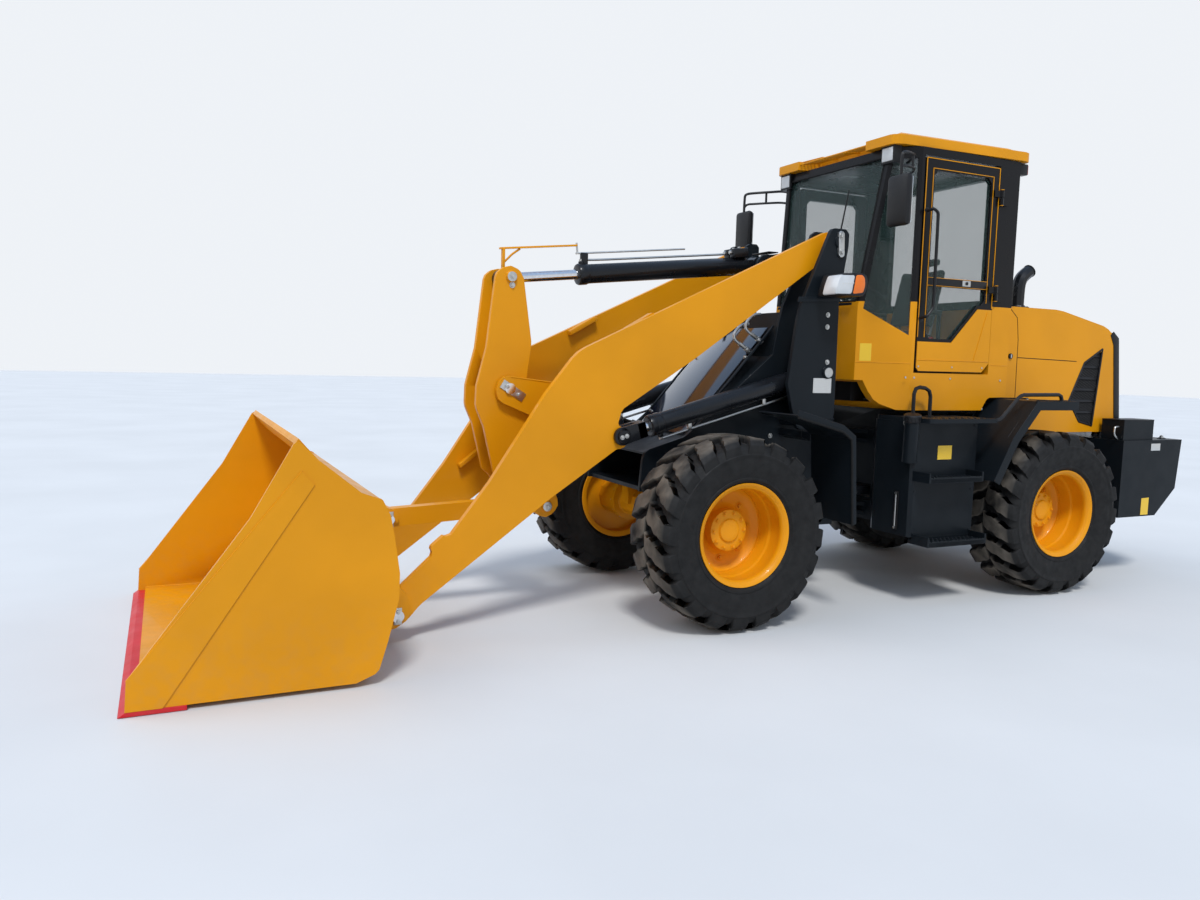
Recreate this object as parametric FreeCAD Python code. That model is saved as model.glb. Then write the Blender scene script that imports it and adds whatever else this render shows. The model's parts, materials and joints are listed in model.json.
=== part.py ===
# Wheel loader with an articulated frame, long lift arms and a single-crank bucket linkage.
# Millimetres. +X runs forward to the bucket, +Y to the left, +Z up from the ground.
# The origin is on the ground, on the centre plane, half-way along the machine.
# Outline tables give x from the front axle and z from the ground; at() turns them into the frame.
import FreeCAD, Part
import math
import os
from FreeCAD import Vector

# Overall sizes
FRONT_REACH = 2971
REAR_REACH = 3900
WHEELBASE = 2452
TRACK = 1500
FRONT_AXLE_X = (REAR_REACH - FRONT_REACH) / 2
REAR_AXLE = -WHEELBASE
STEER_PIVOT = -WHEELBASE / 2

# Clearances
PIN_PLAY = 0.1
SIDE_GAP = 3

# Corners are cut in chords: least corner radius, largest turn of one chord in radians
CORNER_CHORDS = ((100, 0.45), (35, 0.8), (0, 1.6))
DRUM_SIDES = 14
HOLE_SIDES = 12

# Wheels
TYRE_RADIUS = 528
TYRE_WIDTH = 405
TREAD_RADIUS = 488
LUGS_PER_SIDE = 20
LUG_WIDTH = 62
LUG_SLANT = 48
LUG_ROOT = 470
RIM_SEAT_RADIUS = 257
RIM_FLANGE_RADIUS = 281
RIM_WIDTH = 338
RIM_WALL = 12
WHEEL_SIDES = 28
DISC_SET_BACK = 95
DISC_THICKNESS = 18
HUB_RADIUS = 104
HUB_REACH = 105
SPINDLE_RADIUS = 60
SPINDLE_LENGTH = 90
AXLE_Z = TYRE_RADIUS
AXLE_TUBE_RADIUS = 95
AXLE_ARM_RADIUS = 125
AXLE_SIDES = 12

# Lift arms and their linkage, seen from the side: x, z
ARM_PIVOT = (-848, 2170)
BUCKET_PIVOT = (1754, 146)
CRANK_PIVOT = (1066, 1270)
CRANK_TOP = (1055, 1881)
CRANK_FOOT = (820, 600)
LINK_EYE = (1709, 563)
LIFT_BASE = (-800, 1400)
LIFT_EYE = (524, 1027)
TILT_BASE = (-630, 2065)
PIN_RADIUS = 30
LINK_PIN = 25
TILT_PIN = 25
LIFT_ROD = 30
TILT_ROD = 29
TILT_BORE = 44
ARM_INNER = 415
ARM_OUTER = 455
CRANK_INNER = 85
CRANK_OUTER = 120
CRANK_LUG = 35
CROSS_TUBE = (660, 1200)
CROSS_TUBE_RADIUS = 90

# Bucket
BUCKET_HALF = 1020
BUCKET_WALL = 16
BUCKET_SIDE = 18
FLOOR_Z = 20
EDGE_DEPTH = 250

# Towers of the front frame: plates each side of the lift arm
TOWER_INNER = (335, 360)
TOWER_OUTER = (510, 540)

# Rear frame
FRAME_HALF = 325
FRAME_PLATE = 25
FRAME_TOP = 1000
REAR_BULKHEAD = -1400
KNUCKLE_GAP = 36
KNUCKLE_PLATE = 24
KNUCKLE_ROUND = 95
KNUCKLE_PIN = 35
KNUCKLE_HEIGHTS = (505, 987)

# Steering cylinders
STEER_BASE = (-1640, 225)
STEER_EYE = (-1110, 225)
STEER_CYLINDER_Z = 620
STEER_PIN = 15
STEER_ROD = 20

# Cab
CAB_HALF = 630
CAB_NOSE_HALF = 420
CAB_NOSE = -1110
CAB_SHOULDER = -1370
CAB_REAR = -2200
CAB_FLOOR_Z = 1180
CAB_BELT_Z = 1845
CAB_TOP_Z = 2770
CAB_WALL = 45
SCREEN_FOOT_Z = 1810
SCREEN_LEAN = 0.123
GLASS = 8
DOOR_FRONT = -1400
DOOR_REAR = -2020
DOOR_LOW_Z = 1420
DOOR_TOP_Z = CAB_TOP_Z - 55
DOOR_GAP = 8
DOOR_SKIN = 5
DOOR_HINGE_X = -2028
DOOR_HINGE_Y = 650
DOOR_HINGES_Z = (1880, CAB_TOP_Z - 290)
HINGE_PIN = 6
HINGE_RADIUS = 12
HINGE_HEIGHT = 42

# Hood, tanks, fenders and counterweight
HOOD_HALF = 520
HOOD_WALL = 16
HOOD_FRONT = -2320
HOOD_REAR = -3500
HOOD_LOW_Z = 1020
HOOD_HINGE = (-3535, 1005)
HOOD_ARM = 340
HOOD_PIN = 12
WEIGHT_HALF = 740
WEIGHT_FRONT = -3260
WEIGHT_LOW_Z = 430
WEIGHT_TOP_Z = 975
TOW_BORE_RADIUS = 20
TANK_INNER = 430
TANK_SIDE = 800
STEP_SIDE = 930
FENDER_OUTER = 945


def at(x, y, z):
    return Vector(FRONT_AXLE_X + x, y, z)


def mirrored(shape):
    return shape.mirror(Vector(0, 0, 0), Vector(0, 1, 0))


def both(shape):
    return [shape, mirrored(shape)]


def fused(shapes):
    first = shapes[0]
    whole = first.fuse(shapes[1:]) if len(shapes) > 1 else first
    return whole.removeSplitter()


def loop_through(points, radii):
    """A closed wire of straight runs whose corners are rounded by a few chords."""
    count = len(points)
    run = []
    for index, point in enumerate(points):
        radius = radii[index]
        if radius == 0:
            run.append(point)
            continue
        back = (points[index - 1] - point).normalize()
        ahead = (points[(index + 1) % count] - point).normalize()
        half = back.getAngle(ahead) / 2
        start = point + back * (radius / math.tan(half))
        finish = point + ahead * (radius / math.tan(half))
        centre = point + (back + ahead).normalize() * (radius / math.sin(half))
        turn = math.pi - 2 * half
        for least_radius, largest_turn in CORNER_CHORDS:
            if radius >= least_radius:
                chords = math.ceil(turn / largest_turn)
                break
        for number in range(chords + 1):
            share = number / chords
            mixed = (start * (1 - share) + finish * share - centre).normalize()
            run.append(centre + mixed * radius)
    return Part.makePolygon(run + [run[0]])


def outline(table, y):
    """Closed side outline from rows of x, z and an optional corner radius."""
    points = [at(row[0], y, row[1]) for row in table]
    radii = [row[2] if len(row) > 2 else 0 for row in table]
    return loop_through(points, radii)


def plate(table, y_low, y_high):
    face = Part.Face(outline(table, y_low))
    return face.extrude(Vector(0, y_high - y_low, 0))


def level(table, z_low, z_high):
    """Prism from a plan outline: rows of x, y and an optional corner radius."""
    points = [at(row[0], row[1], z_low) for row in table]
    radii = [row[2] if len(row) > 2 else 0 for row in table]
    face = Part.Face(loop_through(points, radii))
    return face.extrude(Vector(0, 0, z_high - z_low))


def block(x_low, x_high, y_low, y_high, z_low, z_high):
    corner = at(x_low, y_low, z_low)
    return Part.makeBox(x_high - x_low, y_high - y_low, z_high - z_low, corner)


def bar(start, finish, radius):
    along = finish - start
    return Part.makeCylinder(radius, along.Length, start, along)


def cross_bar(place, y_low, y_high, radius):
    return bar(at(place[0], y_low, place[1]), at(place[0], y_high, place[1]), radius)


def drum(start, finish, radius, sides=DRUM_SIDES):
    """Bar of polygonal section, for round bodies that nothing turns on."""
    circle = Part.makeCircle(radius, start, finish - start)
    ring = [circle.valueAt(2 * math.pi * number / sides) for number in range(sides)]
    return Part.Face(Part.makePolygon(ring + [ring[0]])).extrude(finish - start)


def cross_drum(place, y_low, y_high, radius, sides=DRUM_SIDES):
    return drum(at(place[0], y_low, place[1]), at(place[0], y_high, place[1]), radius, sides)


def around(radius, sides):
    """Corner radius of a polygonal hole whose flats clear a round of this radius."""
    return (radius + PIN_PLAY) / math.cos(math.pi / sides)


def hole(place, y_low, y_high, radius, sides=HOLE_SIDES):
    return cross_drum(place, y_low, y_high, around(radius, sides), sides)


def pipe(points, bend, radius):
    """Bent tube of hexagonal section whose bends are cut into three mitred turns."""
    path = [points[0]]
    for index in range(1, len(points) - 1):
        corner = points[index]
        back = (points[index - 1] - corner).normalize()
        ahead = (points[index + 1] - corner).normalize()
        path.append(corner + back * bend)
        path.append(corner + (back + ahead) * (bend * 0.29))
        path.append(corner + ahead * bend)
    path.append(points[-1])
    start = Part.makeCircle(radius, points[0], points[1] - points[0])
    ring = [start.valueAt(number * math.pi / 3) for number in range(6)]
    section = Part.makePolygon(ring + [ring[0]])
    return Part.makePolygon(path).makePipeShell([section], True, False, 1)


def turned(profile, sides):
    """Faceted solid of revolution about the Y axis from a closed run of radius, y."""
    step = 2 * math.pi / sides
    faces = []
    for number in range(sides):
        low, high = number * step, (number + 1) * step
        for first, second in zip(profile, profile[1:] + profile[:1]):
            if first[0] == 0 and second[0] == 0:
                continue
            points = []
            for radius, side, turn in ((*first, low), (*second, low), (*second, high), (*first, high)):
                points.append(Vector(radius * math.cos(turn), side, radius * math.sin(turn)))
            if first[0] == 0:
                points = points[:3]
            if second[0] == 0:
                points = [points[0], points[1], points[3]]
            faces.append(Part.Face(Part.makePolygon(points + [points[0]])))
    solid = Part.Solid(Part.Shell(faces))
    if solid.Volume < 0:
        solid.reverse()
    return solid


def strip(table, thickness, y_low, y_high):
    """Bent sheet: an open run of x, z, corner radius, thickened to its left hand side."""
    lower = [at(row[0], y_low, row[1]) for row in table]
    normals = []
    for first, second in zip(lower[:-1], lower[1:]):
        along = (second - first).normalize()
        normals.append(Vector(-along.z, 0, along.x))
    shifted = [lower[0] + normals[0] * thickness]
    for index in range(1, len(lower) - 1):
        mean = (normals[index - 1] + normals[index]).normalize()
        shifted.append(lower[index] + mean * (thickness / mean.dot(normals[index])))
    shifted.append(lower[-1] + normals[-1] * thickness)
    loop = lower + list(reversed(shifted))
    face = Part.Face(Part.makePolygon(loop + [loop[0]]))
    return face.extrude(Vector(0, y_high - y_low, 0))


def save(name, solids):
    shape = solids[0] if len(solids) == 1 else Part.makeCompound(solids)
    shape.exportStep("parts/" + name + ".step")


# Wheels
def tyre_shape():
    """Tyre about the Y axis at the origin, its outer side towards +Y."""
    half = TYRE_WIDTH / 2
    bead = RIM_WIDTH / 2 - 16
    profile = [
        (RIM_SEAT_RADIUS, bead),
        (405, half),
        (TREAD_RADIUS, half - 36),
    ]
    across = profile + [(radius, -side) for radius, side in reversed(profile)]
    carcass = turned(across, WHEEL_SIDES)
    reach = LUG_SLANT + LUG_WIDTH / 2
    top = math.sqrt(TYRE_RADIUS ** 2 - reach ** 2)
    lugs = []
    pitch = 360 / LUGS_PER_SIDE
    lead_turn = math.degrees(math.atan2(reach, top))
    shoulder = half - 2
    for side in (1, -1):
        corners = [
            Vector(-LUG_SLANT + LUG_WIDTH / 2, side * 8, LUG_ROOT),
            Vector(-LUG_SLANT - LUG_WIDTH / 2, side * 22, LUG_ROOT),
            Vector(LUG_SLANT - LUG_WIDTH / 2, side * shoulder, LUG_ROOT),
            Vector(LUG_SLANT + LUG_WIDTH / 2, side * shoulder, LUG_ROOT),
        ]
        base = Part.makePolygon(corners + [corners[0]])
        crown = [Vector(c.x * 0.97, c.y * 0.97, top) for c in corners]
        crest = Part.makePolygon(crown + [crown[0]])
        lug = Part.makeLoft([base, crest], True, True)
        for number in range(LUGS_PER_SIDE):
            copy = lug.copy()
            stagger = pitch / 2 if side < 0 else 0
            copy.rotate(Vector(0, 0, 0), Vector(0, 1, 0), 180 - lead_turn + number * pitch + stagger)
            lugs.append(copy)
    return carcass.fuse(lugs)


def rim_shape():
    """Deep-dished rim with its planetary hub, about the Y axis, outer side towards +Y."""
    half = RIM_WIDTH / 2
    seat = RIM_SEAT_RADIUS
    inner = seat - RIM_WALL
    disc = -DISC_SET_BACK
    hub_end = disc + HUB_REACH
    bore = around(SPINDLE_RADIUS, WHEEL_SIDES)
    across = [
        (seat, -half + 10),
        (RIM_FLANGE_RADIUS, -half - 4),
        (inner, -half - 4),
        (inner, disc - 6),
        (bore, disc - 6),
        (bore, disc + SPINDLE_LENGTH),
        (0, disc + SPINDLE_LENGTH),
        (0, hub_end + 14),
        (HUB_RADIUS * 0.68, hub_end),
        (HUB_RADIUS, hub_end - 6),
        (HUB_RADIUS, disc + 34),
        (HUB_RADIUS + 28, disc + DISC_THICKNESS),
        (196, disc + DISC_THICKNESS),
        (inner, disc + 52),
        (inner, half - 18),
        (RIM_FLANGE_RADIUS, half + 4),
        (seat, half - 10),
    ]
    return turned(across, WHEEL_SIDES)


def make_wheels():
    tyre = tyre_shape()
    rim = rim_shape()
    corners = [("front", 0), ("rear", REAR_AXLE)]
    for end, axle in corners:
        for side_name, side in (("left", 1), ("right", -1)):
            for name, shape in (("tyre", tyre), ("rim", rim)):
                piece = shape.copy() if side > 0 else mirrored(shape)
                piece.translate(at(axle, side * TRACK / 2, AXLE_Z))
                save(name + "_" + end + "_" + side_name, [piece])


def axle_shape(axle, pad_top):
    """Axle housing with its differential, arms and spindles, and pads up to the frame."""
    hub_face = TRACK / 2 - DISC_SET_BACK - 6 - SIDE_GAP
    profile = [(0, -hub_face), (AXLE_ARM_RADIUS, -hub_face), (AXLE_ARM_RADIUS, -430), (AXLE_TUBE_RADIUS, -400),
               (AXLE_TUBE_RADIUS, 400), (AXLE_ARM_RADIUS, 430), (AXLE_ARM_RADIUS, hub_face), (0, hub_face)]
    tube = turned(profile, AXLE_SIDES)
    tube.translate(at(axle, 0, AXLE_Z))
    pieces = [tube]
    for side in (1, -1):
        tip = hub_face + SIDE_GAP + SPINDLE_LENGTH - 4
        pieces.append(bar(at(axle, side * 500, AXLE_Z), at(axle, side * tip, AXLE_Z), SPINDLE_RADIUS))
        low, high = sorted((side * 240, side * 330))
        pieces.append(block(axle - 110, axle + 110, low, high, AXLE_Z, pad_top))
    toward = 1 if axle < 0 else -1
    belly = turned([(0, -120), (110, -120), (165, -70), (165, 70), (130, 120), (60, 205), (0, 205)],
                   AXLE_SIDES)
    belly.rotate(Vector(0, 0, 0), Vector(0, 0, 1), -90 * toward)
    belly.translate(at(axle, 0, AXLE_Z))
    pieces.append(belly)
    return fused(pieces)


# Front frame
TOWER_FRONT = [(-593, 1800), (-566, 1690), (-517, 1330), (-555, 1180)]
FRONT_PAD_Z = 700
FRONT_BULKHEAD = -1045


def knuckle(centre_z, thickness, reach, spread, point_back):
    """Hinge plate in plan: round about the steering pivot and spreading to its frame."""
    way = 1 if point_back else -1
    root = STEER_PIVOT + reach
    middle = STEER_PIVOT + way * 60
    z_low = centre_z - thickness / 2
    neck = [(middle, KNUCKLE_ROUND - 5), (root, spread), (root, -spread), (middle, -KNUCKLE_ROUND + 5)]
    body = level(neck, z_low, z_low + thickness)
    disc = drum(at(STEER_PIVOT, 0, z_low), at(STEER_PIVOT, 0, z_low + thickness), KNUCKLE_ROUND)
    waist = block(min(STEER_PIVOT, middle), max(STEER_PIVOT, middle), -KNUCKLE_ROUND + 5,
                  KNUCKLE_ROUND - 5, z_low, z_low + thickness)
    return body.fuse([disc, waist])


def make_front_chassis():
    inner_plate = plate([
        (-885, 2249, 20), (-790, 2249, 30), TOWER_FRONT[0], TOWER_FRONT[1], (-530, 1500),
        (60, 1010, 60), (330, 930, 60), (350, 700), (-330, 700, 60), (-420, 440, 60),
        (FRONT_BULKHEAD, 440), (FRONT_BULKHEAD, 1040, 40), (-885, 1120, 60), (-885, 1840),
    ], TOWER_INNER[0], TOWER_INNER[1])
    outer_plate = plate([
        (-918, 2249, 25), (-787, 2249, 35), TOWER_FRONT[0], TOWER_FRONT[1], TOWER_FRONT[2],
        (-555, 1180, 30), (-600, 1060, 20), (-850, 1060, 20), (-869, 1160, 30), (-865, 1842), (-915, 2145),
    ], TOWER_OUTER[0], TOWER_OUTER[1])
    between = (TOWER_INNER[1], TOWER_OUTER[0])
    foot = block(-850, -600, *between, 1080, 1115)
    back_web = block(-868, -845, *between, 1115, 1320)
    side = [inner_plate, foot, back_web]
    for place in (ARM_PIVOT, LIFT_BASE):
        side.append(cross_bar(place, *between, PIN_RADIUS))
        outer_plate = outer_plate.fuse(cross_drum(place, TOWER_OUTER[1] - 5, TOWER_OUTER[1] + 12, 38, 12))
    side.append(outer_plate.removeSplitter())
    half = TOWER_INNER[0]
    top_beam = block(-820, -745, -half, half, 1960, 2140)
    tilt_eye = []
    for y_low, y_high in ((45, 75), (-75, -45)):
        lug = plate([(-745, 1990), (TILT_BASE[0] + 10, 2005, 30), (TILT_BASE[0] + 55, 2065, 40),
                     (TILT_BASE[0], 2125, 40), (-745, 2135)], y_low, y_high)
        tilt_eye.append(lug)
    tilt_eye.append(cross_drum(TILT_BASE, -85, 85, TILT_PIN, HOLE_SIDES))
    cover = strip([(-585, 1770), (-535, 1500), (60, 1005), (330, 925)], 12, -half, half)
    cover.translate(Vector(-14, 0, -16))
    behind = FRONT_BULKHEAD + 25
    floor = block(behind, 330, -half, half, FRONT_PAD_Z, FRONT_PAD_Z + 25)
    bulkhead = block(FRONT_BULKHEAD, behind, -half, half, 440, 1040)
    belly = block(behind, -420, -half, half, 440, 460)
    pieces = [top_beam, fused(tilt_eye), cover, floor, bulkhead, belly]
    for piece in side:
        pieces += both(piece)
    bore = Part.makeCylinder(KNUCKLE_PIN + PIN_PLAY, 800, at(STEER_PIVOT, 0, 400))
    for height in KNUCKLE_HEIGHTS:
        hinge = knuckle(height, KNUCKLE_GAP - 2 * SIDE_GAP, FRONT_BULKHEAD - STEER_PIVOT, 250, True)
        pieces.append(hinge.removeSplitter().cut(bore))
    eye_x, eye_y = STEER_EYE
    for ear in steering_lugs(eye_x - 22, FRONT_BULKHEAD, eye_y - 30, eye_y + 30):
        pieces += both(ear)
    save("front_chassis", pieces)


def make_front_fenders():
    sheet = strip([(-705, 550), (-672, 1035), (-600, 1085), (-296, 1165)], 10, 575, 935)
    lip = strip([(-705, 550), (-672, 1035), (-600, 1085), (-296, 1165)], 34, 925, 935)
    arm = plate([(-600, 1057), (-600, 1015), (-665, 995), (-665, 1046)], TOWER_INNER[1], 580)
    save("front_fenders", both(fused([sheet, lip, arm])))


def make_headlamps():
    shell = plate([(-660, 1838, 14), (-664, 1972, 14), (-930, 1990, 20), (-930, 1885, 20)], 570, 745)
    bracket = block(-845, -790, TOWER_OUTER[1], 570, 1900, 1950)
    save("headlamps", both(fused([shell, bracket])))


# Lift arms
def make_boom():
    side = plate([
        (-812, 2236, 30), (791, 1483, 220), (971, 1256), (1271, 800), (1485, 521, 25), (1516, 531),
        (1584, 475, 12), (1568, 436, 20), (1733, 285, 40), (1811, 160, 55), (1775, 88, 50), (1700, 110, 60),
        (1634, 184, 150), (917, 710, 250), (549, 955, 25), (500, 958, 45), (462, 1040, 45), (545, 1090, 12),
        (522, 1172, 40), (65, 1463), (-241, 1681), (-737, 2023, 60), (-905, 2110, 55), (-905, 2236, 55),
    ], ARM_INNER, ARM_OUTER)
    bosses = []
    for y_low, y_high in ((TOWER_INNER[1] + SIDE_GAP, ARM_INNER), (ARM_OUTER, TOWER_OUTER[0] - SIDE_GAP)):
        bosses.append(cross_drum(ARM_PIVOT, y_low, y_high, 55))
    arm = fused([side] + bosses)
    for place in (ARM_PIVOT, BUCKET_PIVOT):
        arm = arm.cut(hole(place, 0, 600, PIN_RADIUS))
    tube = cross_drum(CROSS_TUBE, -ARM_INNER, ARM_INNER, CROSS_TUBE_RADIUS)
    lug_table = [(640, 1120, 60), (928, 1117, 60), (1142, 1205, 60), (1142, 1290, 60), (1094, 1345, 60),
                 (700, 1288, 60)]
    lug = plate(lug_table, CRANK_OUTER + SIDE_GAP, CRANK_OUTER + SIDE_GAP + CRANK_LUG)
    carrier = fused([tube] + both(lug)).cut(hole(CRANK_PIVOT, -300, 300, PIN_RADIUS))
    save("boom", both(arm) + [carrier])


def make_bellcrank():
    side = plate([
        (1055 - 72, 1900, 55), (1055, 1956, 70), (1055 + 85, 1905, 60), (1158, 1743), (1189, 1493),
        (1243, 1284, 60), (1246, 1168, 60), (1200, 1060), (1139, 803), (905, 575, 70), (820, 520, 60),
        (735, 600, 60), (900, 1000, 200), (965, 1240, 120), (927, 1518, 120),
    ], CRANK_INNER, CRANK_OUTER)
    hub = cross_drum(CRANK_PIVOT, -CRANK_INNER, CRANK_INNER, 62)
    stubs = [cross_drum(place, CRANK_OUTER, CRANK_OUTER + 14, 32, 12) for place in (CRANK_TOP, CRANK_FOOT)]
    bore = hole(CRANK_PIVOT, -300, 300, PIN_RADIUS)
    cheek = fused([side] + stubs).cut(bore)
    save("bellcrank", both(cheek) + [hub.cut(bore)])


def make_pins():
    crank_pin = cross_bar(CRANK_PIVOT, -(CRANK_OUTER + 50), CRANK_OUTER + 50, PIN_RADIUS)
    save("bellcrank_pin", [crank_pin])
    bucket_pin = cross_bar(BUCKET_PIVOT, ARM_INNER - 45, ARM_OUTER + 45, PIN_RADIUS)
    save("bucket_pins", both(bucket_pin))
    link_pin = cross_bar(LINK_EYE, -105, 105, LINK_PIN)
    save("link_pin", [link_pin])


def make_link():
    half = 36
    body = plate([(LINK_EYE[0] - 30, 512), (LINK_EYE[0] - 20, 612), (CRANK_FOOT[0] + 20, 650),
                  (CRANK_FOOT[0] + 20, 555)], -half, half)
    front = cross_drum(LINK_EYE, -60, 60, 56)
    rear = cross_drum(CRANK_FOOT, -CRANK_INNER + 10, CRANK_INNER - 10, 56)
    whole = fused([body, front, rear])
    whole = whole.cut(hole(LINK_EYE, -200, 200, LINK_PIN))
    save("bucket_link", [whole.cut(hole(CRANK_FOOT, -200, 200, LINK_PIN))])


# Bucket
def make_bucket():
    lip = FRONT_REACH - 27
    shell_run = [(lip - 39, FLOOR_Z), (2060, FLOOR_Z), (1965, 60), (1917, 193), (1872, 378), (1869, 491),
                 (1894, 664), (1911, 749), (1943, 815), (2034, 846), (2207, 988), (2284, 1080)]
    inner_half = BUCKET_HALF - BUCKET_SIDE
    wrapper = strip(list(reversed(shell_run)), BUCKET_WALL, -inner_half, inner_half)
    rim_bar = plate([(2207, 994), (2284, 1084), (2300, 1062), (2226, 975)], -inner_half, inner_half)
    side = plate([
        (lip, FLOOR_Z), (lip - 7, 141, 20), (2476, 762), (2294, 1084, 18), (2205, 993), (2032, 851),
        (1943, 819, 10), (1908, 749), (1892, 664), (1867, 491), (1870, 378, 60), (1917, 193),
        (1959, 57, 30), (2055, FLOOR_Z),
    ], inner_half, BUCKET_HALF)
    band = plate([(lip - 7, 141), (2273, 949), (2225, 892), (lip - 135, FLOOR_Z), (lip, FLOOR_Z)],
                 BUCKET_HALF, BUCKET_HALF + 6)
    ear = [(BUCKET_PIVOT[0] - 62, 130, 40), (BUCKET_PIVOT[0] - 50, 250, 40), (1895, 420), (1895, 250),
           (1960, 90), (BUCKET_PIVOT[0] + 20, 78, 50)]
    eye = [(LINK_EYE[0] - 55, 563, 45), (LINK_EYE[0], 625, 45), (1885, 680), (1905, 640), (1880, 430),
           (LINK_EYE[0] + 20, 505, 45)]
    scoop = plate(shell_run, -BUCKET_HALF, BUCKET_HALF)
    pieces = [fused([wrapper, rim_bar])] + both(fused([side, band]))
    for y_low, y_high in ((ARM_INNER - SIDE_GAP - 30, ARM_INNER - SIDE_GAP),
                          (ARM_OUTER + SIDE_GAP, ARM_OUTER + SIDE_GAP + 30)):
        lug = plate(ear, y_low, y_high).cut(scoop)
        pieces += both(lug.cut(hole(BUCKET_PIVOT, 0, 600, PIN_RADIUS)))
    lug = plate(eye, 63, 93).cut(scoop)
    pieces += both(lug.cut(hole(LINK_EYE, 0, 200, LINK_PIN)))
    save("bucket", pieces)
    edge_half = BUCKET_HALF + 5
    edge = plate([(FRONT_REACH, 0), (FRONT_REACH - 30, FLOOR_Z), (FRONT_REACH - EDGE_DEPTH, FLOOR_Z),
                  (FRONT_REACH - EDGE_DEPTH, 0)], -edge_half, edge_half)
    save("cutting_edge", [edge])


# Cylinders
def along_line(start, finish, distance):
    run = finish - start
    return start + run.normalize() * distance


def make_lift_cylinders():
    middle = (ARM_INNER + ARM_OUTER) / 2
    base = at(LIFT_BASE[0], middle, LIFT_BASE[1])
    eye = at(LIFT_EYE[0], middle, LIFT_EYE[1])
    span = (eye - base).Length
    barrel_end = span - 205
    way = (eye - base).normalize()
    tube = drum(along_line(base, eye, 75), along_line(base, eye, barrel_end), 57)
    head = drum(along_line(base, eye, barrel_end - 60), along_line(base, eye, barrel_end + 22), 62)
    lug = cross_drum(LIFT_BASE, middle - 45, middle + 45, 55)
    neck = drum(base, along_line(base, eye, 90), 40, 8)
    barrel = fused([tube, head, lug, neck])
    hollow = drum(along_line(base, eye, 110), along_line(base, eye, span), LIFT_ROD + PIN_PLAY)
    barrel = barrel.cut(hollow)
    barrel = barrel.cut(hole(LIFT_BASE, middle - 60, middle + 60, PIN_RADIUS))
    rod = drum(along_line(base, eye, 130), along_line(base, eye, span - 110), LIFT_ROD)
    ears = []
    up = Vector(-way.z, 0, way.x)
    for y_low, y_high in ((ARM_INNER - 4 - 25, ARM_INNER - 4), (ARM_OUTER + 4, ARM_OUTER + 4 + 25)):
        ears.append(cross_drum(LIFT_EYE, y_low, y_high, 50, 14))
        root = eye - way * 150
        corners = [root + up * 45, eye + up * 48, eye - up * 48, root - up * 45]
        corners = [Vector(c.x, y_low, c.z) for c in corners]
        face = Part.Face(Part.makePolygon(corners + [corners[0]]))
        ears.append(face.extrude(Vector(0, y_high - y_low, 0)))
    yoke_root = eye - way * 150
    yoke = [yoke_root + up * 45, eye - way * 95 + up * 46, eye - way * 95 - up * 46, yoke_root - up * 45]
    low = ARM_INNER - 29
    yoke = [Vector(c.x, low, c.z) for c in yoke]
    face = Part.Face(Part.makePolygon(yoke + [yoke[0]]))
    ears.append(face.extrude(Vector(0, ARM_OUTER + 29 - low, 0)))
    cap = cross_drum(LIFT_EYE, ARM_OUTER + 25, ARM_OUTER + 45, 34, 12)
    rod = fused([rod, cap] + ears)
    save("lift_barrel_left", [barrel])
    save("lift_barrel_right", [mirrored(barrel)])
    save("lift_rod_left", [rod])
    save("lift_rod_right", [mirrored(rod)])


def make_tilt_cylinder():
    base = at(TILT_BASE[0], 0, TILT_BASE[1])
    eye = at(CRANK_TOP[0], 0, CRANK_TOP[1])
    span = (eye - base).Length
    head_end = 1250
    tube = drum(along_line(base, eye, 80), along_line(base, eye, head_end), 56)
    head = drum(along_line(base, eye, head_end - 60), along_line(base, eye, head_end), 62)
    lug = cross_drum(TILT_BASE, -40, 40, 50)
    neck = drum(base, along_line(base, eye, 95), 36, 8)
    barrel = fused([tube, head, lug, neck])
    bore = drum(along_line(base, eye, 105), along_line(base, eye, head_end - 40), TILT_BORE)
    mouth = drum(along_line(base, eye, head_end - 60), along_line(base, eye, head_end + 10), TILT_ROD + PIN_PLAY)
    barrel = barrel.cut(bore).cut(mouth).cut(cross_bar(TILT_BASE, -60, 60, TILT_PIN + PIN_PLAY))
    save("tilt_barrel", [barrel])
    rod_root = 490
    piston = drum(along_line(base, eye, rod_root + 20), along_line(base, eye, rod_root + 80), TILT_BORE - PIN_PLAY)
    socket = drum(along_line(base, eye, rod_root), along_line(base, eye, rod_root + 100), TILT_ROD + PIN_PLAY)
    save("tilt_piston", [piston.cut(socket)])
    rod = drum(along_line(base, eye, rod_root), along_line(base, eye, span - 40), TILT_ROD)
    eye_piece = cross_drum(CRANK_TOP, -CRANK_INNER + 20, CRANK_INNER - 20, 50)
    rod = fused([rod, eye_piece]).cut(hole(CRANK_TOP, -100, 100, TILT_PIN))
    save("tilt_rod", [rod])


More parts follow.
